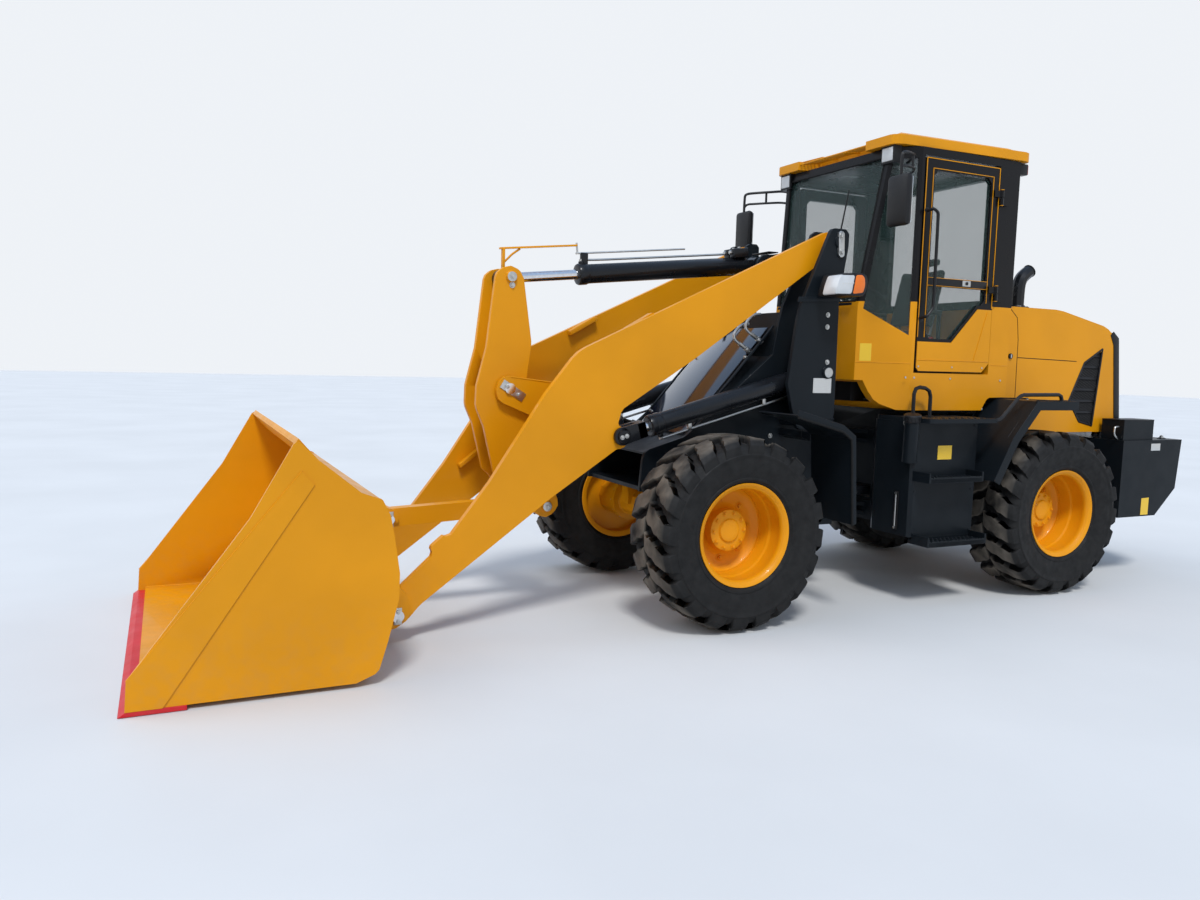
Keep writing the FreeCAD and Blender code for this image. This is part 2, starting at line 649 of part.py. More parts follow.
def make_steering_cylinders():
    """Left and right steering cylinders, hinged to the rear frame."""
    base = at(STEER_BASE[0], STEER_BASE[1], STEER_CYLINDER_Z)
    eye = at(STEER_EYE[0], STEER_EYE[1], STEER_CYLINDER_Z)
    span = (eye - base).Length
    reach = span - 212
    lug = drum(base - Vector(0, 0, 25), base + Vector(0, 0, 25), 30, 12)
    neck = drum(base, along_line(base, eye, 60), 24, 8)
    tube = drum(along_line(base, eye, 50), along_line(base, eye, reach), 38, 12)
    barrel = fused([lug, neck, tube])
    barrel = barrel.cut(drum(along_line(base, eye, 34), along_line(base, eye, reach + 10), STEER_ROD + PIN_PLAY, 10))
    barrel = barrel.cut(Part.makeCylinder(STEER_PIN + PIN_PLAY, 200, base - Vector(0, 0, 100)))
    shaft = drum(along_line(base, eye, 175), along_line(base, eye, span - 15), STEER_ROD, 10)
    rod_eye = drum(eye - Vector(0, 0, 25), eye + Vector(0, 0, 25), 28, 12)
    rod = fused([shaft, rod_eye]).cut(drum(eye - Vector(0, 0, 50), eye + Vector(0, 0, 50), STEER_PIN, 8))
    save("steer_barrel_left", [barrel])
    save("steer_barrel_right", [mirrored(barrel)])
    save("steer_rod_left", [rod])
    save("steer_rod_right", [mirrored(rod)])


def steering_lugs(x_low, x_high, y_low, y_high):
    """Two ears above and below a steering cylinder's eye."""
    ears = []
    for z_low in (STEER_CYLINDER_Z - 38, STEER_CYLINDER_Z + 28):
        ears.append(block(x_low, x_high, y_low, y_high, z_low, z_low + 10))
    return ears


# Rear frame
def make_rear_chassis():
    rail_top = FRAME_TOP - 25
    front = REAR_BULKHEAD - 25
    side = plate([
        (front, 440), (front, rail_top), (WEIGHT_FRONT, rail_top), (WEIGHT_FRONT, 560),
        (-2900, 560, 60), (-2720, 760, 80), (-2180, 760, 80), (-2040, 440, 80),
    ], FRAME_HALF - FRAME_PLATE, FRAME_HALF)
    half = FRAME_HALF - FRAME_PLATE
    window_low, window_high = STEER_CYLINDER_Z - 55, STEER_CYLINDER_Z + 55
    pieces = both(side)
    bulkhead = ((-FRAME_HALF, FRAME_HALF, window_high, FRAME_TOP + 40), (-FRAME_HALF, FRAME_HALF, 440, window_low),
                (-140, 140, window_low, window_high), (296, FRAME_HALF, window_low, window_high),
                (-FRAME_HALF, -296, window_low, window_high))
    for y_low, y_high, z_low, z_high in bulkhead:
        pieces.append(block(front, REAR_BULKHEAD, y_low, y_high, z_low, z_high))
    pieces.append(block(REAR_AXLE - 140, REAR_AXLE + 140, -half, half, 760, 768))
    pieces.append(block(-2900, front, -half, half, 768, 785))
    pieces.append(block(WEIGHT_FRONT, WEIGHT_FRONT + 25, -half, half, 560, rail_top))
    pieces.append(block(CAB_REAR, front, -FRAME_HALF, FRAME_HALF, rail_top, CAB_FLOOR_Z))
    base_x = STEER_BASE[0]
    ears = steering_lugs(base_x - 40, base_x + 32, STEER_BASE[1] - 35, half)
    foot = at(base_x, STEER_BASE[1], STEER_CYLINDER_Z - 43)
    ears.append(drum(foot, foot + Vector(0, 0, 86), STEER_PIN, 10))
    pieces += both(fused(ears))
    step = (KNUCKLE_GAP + KNUCKLE_PLATE) / 2
    for height in KNUCKLE_HEIGHTS:
        hinge = []
        for way in (1, -1):
            hinge.append(knuckle(height + way * step, KNUCKLE_PLATE, REAR_BULKHEAD - STEER_PIVOT, 250, False))
        reach = step + KNUCKLE_PLATE / 2 + 6
        foot = at(STEER_PIVOT, 0, height - reach)
        hinge.append(drum(foot, foot + Vector(0, 0, 2 * reach), KNUCKLE_PIN))
        pieces.append(fused(hinge))
    save("rear_chassis", pieces)


def make_counterweight():
    body = plate([
        (WEIGHT_FRONT, WEIGHT_LOW_Z), (WEIGHT_FRONT, WEIGHT_TOP_Z), (-REAR_REACH, WEIGHT_TOP_Z),
        (-REAR_REACH + 35, 620), (-3660, WEIGHT_LOW_Z),
    ], -WEIGHT_HALF, WEIGHT_HALF)
    notch = block(-REAR_REACH - 10, -REAR_REACH + 130, -70, 70, 690, 770)
    bore = Part.makeCylinder(TOW_BORE_RADIUS, 400, at(-REAR_REACH + 75, 0, 600))
    whole = body.cut(notch).cut(bore)
    hinge_x, hinge_z = HOOD_HINGE
    ear = [(hinge_x - 35, WEIGHT_TOP_Z), (hinge_x - 18, hinge_z + 18), (hinge_x + 18, hinge_z + 18),
           (hinge_x + 35, WEIGHT_TOP_Z)]
    ears = [cross_drum(HOOD_HINGE, HOOD_ARM - 36, HOOD_ARM + 36, HOOD_PIN, 8)]
    for y_low in (HOOD_ARM - 25, HOOD_ARM + 25):
        ears.append(plate(ear, y_low - 8, y_low + 8))
    box = block(-3600, -3280, HOOD_HALF + 30, 720, WEIGHT_TOP_Z, 1115)
    save("counterweight", [whole] + both(fused(ears)) + both(box))


def make_engine():
    save("engine_block", [block(-3150, -2420, -290, 290, 785, 1560)])


def make_tanks():
    inner = TANK_INNER
    tank = level([(-1300, inner), (-1262, inner + 50), (-1262, TANK_SIDE, 20), (-1780, TANK_SIDE),
                  (-1780, inner)], 420, 1120)
    deck = level([(-1310, inner), (-1272, inner + 55), (-1255, STEP_SIDE, 30), (-1800, STEP_SIDE),
                  (-1800, inner)], 1120, 1146)
    steps = []
    for step_front, step_rear, step_z in ((-1275, -1715, 765), (-1290, -1768, 380)):
        steps.append(block(step_rear, step_front, TANK_SIDE, STEP_SIDE, step_z, step_z + 24))
        for end in (step_rear, step_front - 12):
            steps.append(block(end, end + 12, TANK_SIDE - 30, STEP_SIDE, step_z, step_z + 60))
    left = fused([tank, deck] + steps)
    hanger = block(-1780, -1425, FRAME_HALF, inner, 640, 1000)
    left = fused([left, hanger])
    neck = drum(at(-1262, 770, 985), at(-1240, 800, 1165), 34, 12)
    save("side_tank_left", [fused([left, neck])])
    save("side_tank_right", [mirrored(left)])


def make_rear_fenders():
    run = [(-2500, 1243), (-2135, 1243), (-1942, 1022), (-1800, 760)]
    sheet = strip(list(run), 12, 530, FENDER_OUTER)
    lip = strip(list(run), -45, FENDER_OUTER - 10, FENDER_OUTER)
    bracket = block(-2120, -2020, FRAME_HALF, 535, 1100, 1150)
    save("rear_fenders", both(fused([sheet, lip, bracket])))


# Cab
def cab_plan(inset):
    nose = CAB_NOSE - inset
    side = CAB_HALF - inset
    nose_half = CAB_NOSE_HALF - inset * 0.5
    shoulder = CAB_SHOULDER - inset * 0.5
    rear = CAB_REAR + inset
    return [(nose, nose_half), (shoulder, side), (rear, side), (rear, -side), (shoulder, -side),
            (nose, -nose_half)]


def cab_solid(inset, z_low, z_high):
    """Cab volume inset from its outer faces, cut back along the leaning windscreen."""
    body = level(cab_plan(inset), z_low, z_high)
    front = CAB_NOSE - inset
    rise = CAB_TOP_Z + 200 - SCREEN_FOOT_Z
    lean = rise * SCREEN_LEAN
    wedge = plate([(front, SCREEN_FOOT_Z), (front - lean, SCREEN_FOOT_Z + rise),
                   (front + 200, SCREEN_FOOT_Z + rise), (front + 200, SCREEN_FOOT_Z)], -900, 900)
    return body.cut(wedge)


def slanted_cut(table, out_low, out_high):
    """Prism across the slanted side of the cab's nose: rows of run along the wall, z."""
    along = (at(CAB_SHOULDER, CAB_HALF, 0) - at(CAB_NOSE, CAB_NOSE_HALF, 0))
    length = along.Length
    along.normalize()
    out = Vector(-along.y, along.x, 0) * -1
    start = at(CAB_NOSE, CAB_NOSE_HALF, 0)
    points = [start + along * (run * length) + out * out_low + Vector(0, 0, z) for run, z in table]
    face = Part.Face(Part.makePolygon(points + [points[0]]))
    return face.extrude(out * (out_high - out_low))


SIDE_SCREEN = [(0.10, 1800), (0.93, 1640), (0.93, CAB_TOP_Z - 70), (0.50, CAB_TOP_Z - 70)]
REAR_SCREEN = (-470, 470, 1900, CAB_TOP_Z - 80)


def screen_plane(z):
    return CAB_NOSE - max(0, z - SCREEN_FOOT_Z) * SCREEN_LEAN


def windscreen(inset, x_out, x_in):
    """Front window opening or pane, leaning with the screen."""
    low = 1850
    high = DOOR_TOP_Z
    half_low = 392 - inset
    half_high = 470 - inset
    corners = []
    for z, half in ((low + inset, half_low), (high - inset, half_high)):
        corners.append((z, half))
    (z_low, half_low), (z_high, half_high) = corners
    points = [
        at(screen_plane(z_low) + x_out, half_low, z_low),
        at(screen_plane(z_high) + x_out, half_high, z_high),
        at(screen_plane(z_high) + x_out, -half_high, z_high),
        at(screen_plane(z_low) + x_out, -half_low, z_low),
    ]
    face = Part.Face(Part.makePolygon(points + [points[0]]))
    return face.extrude(Vector(x_in - x_out, 0, 0))


def make_cab():
    shell = cab_solid(0, CAB_FLOOR_Z, CAB_TOP_Z).cut(cab_solid(CAB_WALL, CAB_FLOOR_Z + 40, CAB_TOP_Z - 40))
    low_cut = plate([(-1000, 1100), (-1000, 1358), (-1150, 1358, 0), (-1178, 1290, 60), (-1215, 1222, 60),
                     (-1310, 1180), (-1310, 1100)], -900, 900)
    shell = shell.cut(low_cut)
    arches = both(block(CAB_REAR + CAB_WALL, -1960, FRAME_HALF + 15, CAB_HALF - CAB_WALL, CAB_FLOOR_Z + 40, 1306))
    rise = plate([(-1985, 1100), (-1985, 1180), (-2040, 1262, 30), (-2260, 1268), (-2260, 1100)],
                 FRAME_HALF + 15, 900)
    shell = fused([shell] + arches).cut(rise).cut(mirrored(rise))
    shell = shell.cut(windscreen(0, 100, -200))
    side_window = slanted_cut(SIDE_SCREEN, -120, 120)
    shell = shell.cut(side_window).cut(mirrored(side_window))
    door_gap = block(DOOR_REAR - DOOR_GAP, DOOR_FRONT + DOOR_GAP, CAB_HALF - CAB_WALL - 30, 900,
                     DOOR_LOW_Z - DOOR_GAP, DOOR_TOP_Z + DOOR_GAP)
    shell = shell.cut(door_gap).cut(mirrored(door_gap))
    y_low, y_high, z_low, z_high = REAR_SCREEN
    shell = shell.cut(block(CAB_REAR - 50, CAB_REAR + 120, y_low, y_high, z_low, z_high))
    hinges = []
    for z in DOOR_HINGES_Z:
        place = at(DOOR_HINGE_X, DOOR_HINGE_Y, z)
        leaf = block(DOOR_HINGE_X - 60, DOOR_HINGE_X, CAB_HALF - 5, DOOR_HINGE_Y, z, z + HINGE_HEIGHT)
        barrel = drum(place, place + Vector(0, 0, HINGE_HEIGHT), HINGE_RADIUS, 8)
        pin_end = place + Vector(0, 0, 2 * HINGE_HEIGHT + 10)
        pin = bar(place, pin_end, HINGE_PIN) if z == DOOR_HINGES_Z[0] else drum(place, pin_end, HINGE_PIN, 8)
        hinges += both(fused([leaf, barrel, pin]))
    shell = fused([shell] + hinges)
    lower = shell.common(block(-2400, -900, -900, 900, 1000, CAB_BELT_Z))
    upper = shell.common(block(-2400, -900, -900, 900, CAB_BELT_Z, CAB_TOP_Z + 100))
    save("cab_skirt", [lower])
    save("cab_frame", [upper])


def make_glass():
    front = windscreen(0.3, -14, -14 - GLASS)
    middle = (0.62, (SIDE_SCREEN[0][1] + SIDE_SCREEN[2][1]) / 2)
    side_table = []
    for row in SIDE_SCREEN:
        side_table.append([value + (centre - value) * 0.001 for value, centre in zip(row, middle)])
    side = slanted_cut(side_table, -14 - GLASS, -14)
    y_low, y_high, z_low, z_high = REAR_SCREEN
    rear = block(CAB_REAR + 14, CAB_REAR + 14 + GLASS, y_low, y_high, z_low, z_high)
    save("cab_glass", [front, rear] + both(side))


def make_roof():
    plan = [(-1180, 335), (-1180, 560, 30), (-1230, 600, 60), (-2240, 650, 60), (-2280, 620, 30),
            (-2280, -620, 30), (-2240, -650, 60), (-1230, -600, 60), (-1180, -560, 30), (-1180, -335),
            (-1330, -300, 30), (-1330, 300, 30)]
    slab = level(plan, CAB_TOP_Z + 5, CAB_TOP_Z + 62)
    low = [at(x, y, CAB_TOP_Z + 62) for x, y in ((-1215, 320), (-1215, 560), (-2250, 610), (-2250, -610),
                                                 (-1215, -560), (-1215, -320), (-1345, -290), (-1345, 290))]
    high = [at(x, y, CAB_TOP_Z + 100) for x, y in ((-1330, 270), (-1310, 500), (-2180, 540), (-2180, -540),
                                                   (-1310, -500), (-1330, -270), (-1400, -250), (-1400, 250))]
    crown = Part.makeLoft([Part.makePolygon(low + [low[0]]), Part.makePolygon(high + [high[0]])], True, True)
    lamps = []
    for y in (507, -507):
        lamp = block(-1262, -1205, y - 55, y + 55, CAB_TOP_Z - 98, CAB_TOP_Z + 5)
        lamps.append(lamp.cut(cab_solid(0, CAB_FLOOR_Z, CAB_TOP_Z)))
    roof_seat = level([(-1300, 440), (-2150, 560), (-2150, -560), (-1300, -440)], CAB_TOP_Z, CAB_TOP_Z + 5)
    save("roof", [fused([slab, crown, roof_seat])])
    save("work_lamps", lamps)


def make_interior():
    base = block(-1990, -1640, -200, 200, CAB_FLOOR_Z + 40, 1590)
    save("seat_base", [base])
    cushion = block(-2000, -1560, -240, 240, 1590, 1700)
    back = plate([(-1990, 1700, 20), (-1890, 1700, 20), (-2010, 2240, 30), (-2085, 2240, 30)], -230, 230)
    save("seat_cushions", [fused([cushion, back])])
    console = plate([(-1190, CAB_FLOOR_Z + 40), (-1190, 1690), (-1290, 1790, 30), (-1360, 1700, 40),
                     (-1300, CAB_FLOOR_Z + 40)], -300, 300)
    low = at(-1320, 0, 1650)
    high = at(-1470, 0, 1925)
    column = drum(low, high, 28, 8)
    ring = turned([(171, 0), (185, -14), (199, 0), (185, 14)], 18)
    lean = math.degrees(math.atan2(low.x - high.x, high.z - low.z))
    ring.rotate(Vector(0, 0, 0), Vector(1, 0, 0), 90)
    ring.rotate(Vector(0, 0, 0), Vector(0, 1, 0), -lean)
    ring.translate(high)
    spoke = block(0, 26, -180, 180, 0, 14)
    spoke.translate(Vector(high.x - spoke.BoundBox.Center.x, 0, high.z - spoke.BoundBox.Center.z))
    save("steering_column", [fused([console, column, ring, spoke])])


def make_doors():
    hinge_x = DOOR_REAR
    y_out = CAB_HALF + 4
    y_in = CAB_HALF - 34
    body = plate([(DOOR_FRONT, DOOR_LOW_Z, 20), (DOOR_FRONT, DOOR_TOP_Z, 20), (hinge_x, DOOR_TOP_Z, 20),
                  (hinge_x, DOOR_LOW_Z + 60), (hinge_x + 60, DOOR_LOW_Z)], y_in, y_out)
    panes = []
    for inset in (0, 0.3):
        front, rear, top = DOOR_FRONT - 70 - inset, hinge_x + 70 + inset, DOOR_TOP_Z - 75 - inset
        sill = [(front, 1625 + inset, 30), (front, top, 30), (rear, top, 30), (rear, 1850 + inset, 30),
                (rear + 60, 1845 + inset), (-1680 + inset, 1625 + inset)]
        reach = (y_in - 10, y_out + 10) if inset == 0 else (y_in + 14, y_in + 14 + GLASS)
        panes.append(plate(sill, *reach))
    window, pane = panes
    skin = plate([(DOOR_FRONT - 4, DOOR_LOW_Z + 4, 20), (DOOR_FRONT - 4, 1605), (-1685, 1605),
                  (hinge_x + 126, 1822), (hinge_x + 4, 1822), (hinge_x + 4, DOOR_LOW_Z + 62),
                  (hinge_x + 62, DOOR_LOW_Z + 4)], y_out, y_out + DOOR_SKIN)
    knuckles = []
    for z in DOOR_HINGES_Z:
        upper = z + HINGE_HEIGHT + 6
        low_end = at(DOOR_HINGE_X, DOOR_HINGE_Y, upper)
        knuckles.append(drum(low_end, low_end + Vector(0, 0, HINGE_HEIGHT), HINGE_RADIUS, 8))
        knuckles.append(block(DOOR_HINGE_X, hinge_x + 55, y_out, DOOR_HINGE_Y, upper, upper + HINGE_HEIGHT))
    frame = fused([body] + knuckles).cut(window)
    for z in DOOR_HINGES_Z:
        foot = at(DOOR_HINGE_X, DOOR_HINGE_Y, z)
        frame = frame.cut(drum(foot, foot + Vector(0, 0, 150), around(HINGE_PIN, 8), 8))
    save("door_left", [frame])
    save("door_right", [mirrored(frame)])
    save("door_skin_left", [skin])
    save("door_skin_right", [mirrored(skin)])
    save("door_glass_left", [pane])
    save("door_glass_right", [mirrored(pane)])


def make_hood():
    table = [(HOOD_FRONT, HOOD_LOW_Z), (HOOD_FRONT, 1868, 30), (-2800, 1866, 400), (-3290, 1768, 150),
             (-3425, 1680, 60), (-3500, 1050), (-3500, HOOD_LOW_Z)]
    outer = plate(table, -HOOD_HALF, HOOD_HALF)
    wall = HOOD_WALL
    inner_table = [(HOOD_FRONT + 5, HOOD_LOW_Z - 10), (HOOD_FRONT + 5, 1868 - wall - 12),
                   (-2800, 1866 - wall, 400), (-3283, 1768 - wall, 150), (-3410, 1672 - wall, 50),
                   (-3484, 1050), (-3484, HOOD_LOW_Z - 10)]
    inner = plate(inner_table, -HOOD_HALF + wall, HOOD_HALF - wall)
    shell = outer.cut(inner)
    vent_table = [(-3268, 1615, 20), (-3085, 1512, 30), (-2950, 1242, 20), (-3070, 1092, 30), (-3210, 1062, 20)]
    vent = plate(vent_table, -HOOD_HALF - 20, HOOD_HALF + 20)
    shell = shell.cut(vent)
    rear_vent = block(-3560, -3400, -400, 400, 1120, 1600)
    shell = shell.cut(rear_vent)
    hinge_x, hinge_z = HOOD_HINGE
    arm = plate([(hinge_x - 18, hinge_z - 18, 17), (hinge_x - 18, hinge_z + 30, 15), (HOOD_REAR + 4, 1085),
                 (HOOD_REAR + 4, hinge_z + 14), (hinge_x + 18, hinge_z - 18, 17)], HOOD_ARM - 12, HOOD_ARM + 12)
    shell = fused([shell] + both(arm)).cut(cross_bar(HOOD_HINGE, -500, 500, HOOD_PIN + PIN_PLAY))
    save("hood", [shell])
    grilles = []
    middle_x = sum(row[0] for row in vent_table) / len(vent_table)
    middle_z = sum(row[1] for row in vent_table) / len(vent_table)
    small = [(middle_x + (x - middle_x) * 0.999, middle_z + (z - middle_z) * 0.999, r) for x, z, r in vent_table]
    panel = plate(small, HOOD_HALF - 12, HOOD_HALF - 6)
    for z in (1180, 1290, 1400, 1500):
        panel = panel.fuse(plate([(-3250, z), (-3250, z + 14), (-2950, z + 14), (-2950, z)],
                                 HOOD_HALF - 12, HOOD_HALF).common(plate(small, 400, 600)))
    grilles += both(panel)
    save("hood_grilles", grilles)


def make_exhaust():
    points = [at(-2520, 400, 1867.4), at(-2520, 400, 2040), at(-2610, 400, 2100)]
    save("exhaust_pipe", [pipe(points, 55, 45)])


def make_rails():
    grip = pipe([at(-1340, 700, 1146), at(-1340, 700, 1330), at(-1475, 700, 1315), at(-1475, 700, 1146)], 45, 12)
    rail = pipe([at(-1800, 905, 1133), at(-1845, 905, 1133), at(-2015, 905, 1292), at(-2385, 905, 1296),
                 at(-2385, 905, 1255)], 30, 12)
    save("handrails", both(grip) + both(rail))


def make_mirrors():
    head = block(-1085, -1030, 700, 872, CAB_TOP_Z - 520, CAB_TOP_Z - 224)
    high = CAB_TOP_Z - 100
    arm = pipe([at(-1383, 625, high - 10), at(-1340, 700, high + 5), at(-1058, 790, high - 5),
                at(-1058, 790, high - 130)], 30, 9)
    hollow = cab_solid(0, CAB_FLOOR_Z, CAB_TOP_Z)
    save("mirrors", both(fused([head, arm]).cut(hollow)))


os.makedirs("parts", exist_ok=True)
make_wheels()
save("front_axle", [axle_shape(0, FRONT_PAD_Z)])
save("rear_axle", [axle_shape(REAR_AXLE, 760)])
make_front_chassis()
make_front_fenders()
make_headlamps()
make_boom()
make_bellcrank()
make_pins()
make_link()
make_bucket()
make_lift_cylinders()
make_tilt_cylinder()
make_steering_cylinders()
make_rear_chassis()
make_counterweight()
make_engine()
make_tanks()
make_rear_fenders()
make_cab()
make_glass()
make_roof()
make_interior()
make_doors()
make_hood()
make_exhaust()
make_rails()
make_mirrors()
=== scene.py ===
# Wheel loader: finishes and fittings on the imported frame, laid out as an add-on.
import json
import math

import bmesh
import bpy
from bpy.props import FloatProperty, FloatVectorProperty, PointerProperty
from mathutils import Matrix, Vector

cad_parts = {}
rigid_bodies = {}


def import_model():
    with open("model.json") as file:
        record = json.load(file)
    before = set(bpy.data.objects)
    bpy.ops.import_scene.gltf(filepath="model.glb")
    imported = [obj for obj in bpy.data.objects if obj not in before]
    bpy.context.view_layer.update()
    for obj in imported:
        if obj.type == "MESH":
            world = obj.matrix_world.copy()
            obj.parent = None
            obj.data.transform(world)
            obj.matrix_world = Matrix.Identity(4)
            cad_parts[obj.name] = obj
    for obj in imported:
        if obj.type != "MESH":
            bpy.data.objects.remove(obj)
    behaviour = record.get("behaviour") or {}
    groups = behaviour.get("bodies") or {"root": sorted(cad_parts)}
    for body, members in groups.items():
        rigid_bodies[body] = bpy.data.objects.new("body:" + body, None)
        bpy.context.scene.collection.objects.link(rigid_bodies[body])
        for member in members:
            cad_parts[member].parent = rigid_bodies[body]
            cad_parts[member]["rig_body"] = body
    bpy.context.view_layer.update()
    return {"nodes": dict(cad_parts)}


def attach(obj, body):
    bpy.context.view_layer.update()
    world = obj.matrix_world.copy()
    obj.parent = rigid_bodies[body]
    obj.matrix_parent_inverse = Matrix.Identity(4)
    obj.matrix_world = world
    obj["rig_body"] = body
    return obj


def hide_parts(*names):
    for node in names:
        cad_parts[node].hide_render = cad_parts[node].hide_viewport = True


bl_info = {
    "name": "Wheel loader dressing",
    "version": (1, 0, 0),
    "blender": (4, 5, 0),
    "location": "View3D > Sidebar > Loader",
    "description": "Finishes and fittings of an articulated wheel loader",
    "category": "Object",
}

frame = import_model()
NODES = frame["nodes"]

# Axles and side planes. A plain triple anywhere below is in millimetres, measured from a point
# on the ground under the front axle: ahead, to the left, up.
FRONT_AXLE_X = 0.4645
REAR_AXLE = -2452
REAR_AXLE_X = FRONT_AXLE_X + REAR_AXLE / 1000
AXLE_HEIGHT = 528
HALF_TRACK = 750
TOWER_SIDE = 540
SKIRT_SIDE = 629
DOOR_SIDE = 634
HOOD_SIDE = 520
UP = Vector((0, 0, 1))
LEFT = Vector((0, 1, 0))
AHEAD = Vector((1, 0, 0))
SIDES = (("left", 1), ("right", -1))


def at(x, y, z):
    """A point given from under the front axle, in millimetres."""
    return Vector((FRONT_AXLE_X + x / 1000, y / 1000, z / 1000))


def spot(point):
    return point if isinstance(point, Vector) else at(*point)


def between(start, end, distance):
    return start + (end - start).normalized() * (distance / 1000)


def spokes(count, first, second):
    """Unit vectors at even turns, from the first towards the second."""
    for number in range(count):
        turn = 2 * math.pi * number / count
        yield first * math.cos(turn) + second * math.sin(turn)


# Materials
class Shader:
    """A material with one Principled shader that reads Object coordinates."""

    def __init__(self, name, colour, roughness, metallic=0.0, specular=0.5):
        self.material = bpy.data.materials.new(name)
        self.material.use_nodes = True
        self.tree = self.material.node_tree
        self.shader = self.tree.nodes["Principled BSDF"]
        self.preset("Base Color", (*colour, 1))
        self.preset("Roughness", roughness)
        self.preset("Metallic", metallic)
        self.preset("Specular IOR Level", specular)
        self.coords = self.tree.nodes.new("ShaderNodeTexCoord").outputs["Object"]

    def preset(self, name, value):
        self.shader.inputs[name].default_value = value

    def node(self, kind, presets=(), **values):
        made = self.tree.nodes.new(kind)
        for key, value in values.items():
            setattr(made, key, value)
        for key, value in presets:
            made.inputs[key].default_value = value
        return made

    def link(self, out, into):
        self.tree.links.new(out, into)

    def noise(self, scale, detail=4.0, stretch=None):
        made = self.node("ShaderNodeTexNoise", (("Scale", scale), ("Detail", detail)))
        place = self.coords
        if stretch:
            mapping = self.node("ShaderNodeMapping", (("Scale", stretch),))
            self.link(place, mapping.inputs["Vector"])
            place = mapping.outputs["Vector"]
        self.link(place, made.inputs["Vector"])
        return made.outputs["Fac"]

    def ramp(self, value, low, high, low_out=0.0, high_out=1.0):
        ends = (("From Min", low), ("From Max", high), ("To Min", low_out), ("To Max", high_out))
        made = self.node("ShaderNodeMapRange", ends, clamp=True)
        self.link(value, made.inputs["Value"])
        return made.outputs["Result"]

    def math(self, operation, first, second):
        made = self.node("ShaderNodeMath", operation=operation)
        for place, value in enumerate((first, second)):
            if isinstance(value, (int, float)):
                made.inputs[place].default_value = value
            else:
                self.link(value, made.inputs[place])
        return made.outputs[0]

    def mix(self, factor, first, second):
        """Blend of two colours, each a triple or a socket."""
        made = self.node("ShaderNodeMix", data_type="RGBA")
        self.link(factor, made.inputs["Factor"])
        for socket, value in ((made.inputs[6], first), (made.inputs[7], second)):
            if isinstance(value, tuple):
                socket.default_value = (*value, 1)
            else:
                self.link(value, socket)
        return made.outputs[2]

    def axis(self, letter):
        made = self.node("ShaderNodeSeparateXYZ")
        self.link(self.coords, made.inputs[0])
        return made.outputs[letter]

    def bump(self, height, strength, distance):
        made = self.node("ShaderNodeBump", (("Strength", strength), ("Distance", distance)))
        self.link(height, made.inputs["Height"])
        self.link(made.outputs["Normal"], self.shader.inputs["Normal"])

    def colour(self, socket):
        self.link(socket, self.shader.inputs["Base Color"])

    def rough(self, socket):
        self.link(socket, self.shader.inputs["Roughness"])


MATERIALS = {}
DUST = (0.22, 0.19, 0.15)
DUST_TOP = 0.45
DUST_MOST = 0.1


def shaded(colour, share):
    return tuple(part * share for part in colour)


def paint(name, colour, roughness, coat, specular=0.25):
    """Sprayed enamel with orange peel, faint colour drift, and dust that thins out upwards."""
    made = Shader(name, colour, roughness, specular=specular)
    drift = made.ramp(made.noise(1.7, 3.0), 0.35, 0.65)
    base = made.mix(drift, shaded(colour, 0.88), colour)
    height = made.ramp(made.axis("Z"), 0.0, DUST_TOP, DUST_MOST, 0.0)
    speckle = made.ramp(made.noise(22.0, 8.0), 0.42, 0.7)
    dusty = made.math("MULTIPLY", height, speckle)
    made.colour(made.mix(dusty, base, DUST))
    wear = made.ramp(made.noise(9.0, 6.0), 0.3, 0.75, roughness * 0.85, min(1.0, roughness * 1.35))
    made.rough(made.math("ADD", wear, made.math("MULTIPLY", dusty, 0.5)))
    made.bump(made.noise(260.0, 2.0), 0.08, 0.0006)
    made.preset("Coat Weight", coat)
    made.preset("Coat Roughness", 0.06)
    return made.material


def tyre_rubber(name, axle_x):
    """Rubber that is cleaner on the side wall and dusted grey-brown on the lug tops."""
    made = Shader(name, (0.012, 0.012, 0.012), 0.72, specular=0.2)
    across = made.math("SUBTRACT", made.axis("X"), axle_x)
    up = made.math("SUBTRACT", made.axis("Z"), AXLE_HEIGHT / 1000)
    square = made.math("ADD", made.math("MULTIPLY", across, across), made.math("MULTIPLY", up, up))
    worn = made.ramp(made.math("SQRT", square, 0.0), 0.507, 0.523)
    patch = made.ramp(made.noise(7.0, 6.0), 0.3, 0.62)
    film = made.ramp(made.noise(16.0, 9.0), 0.35, 0.8, 0.0, 0.35)
    wall = made.mix(film, (0.009, 0.009, 0.009), (0.032, 0.031, 0.030))
    made.colour(made.mix(made.math("MULTIPLY", worn, patch), wall, (0.125, 0.108, 0.088)))
    made.rough(made.ramp(made.noise(30.0, 5.0), 0.2, 0.8, 0.5, 0.85))
    made.bump(made.noise(180.0, 4.0), 0.25, 0.0012)
    return made.material


def metal(name, colour, roughness, streak=None):
    made = Shader(name, colour, roughness, 1.0)
    grain = made.noise(60.0, 6.0, streak)
    made.rough(made.ramp(grain, 0.2, 0.8, roughness * 0.7, min(1.0, roughness * 1.4)))
    made.colour(made.mix(made.ramp(grain, 0.3, 0.7), shaded(colour, 0.86), colour))
    made.bump(grain, 0.05, 0.0004)
    return made.material


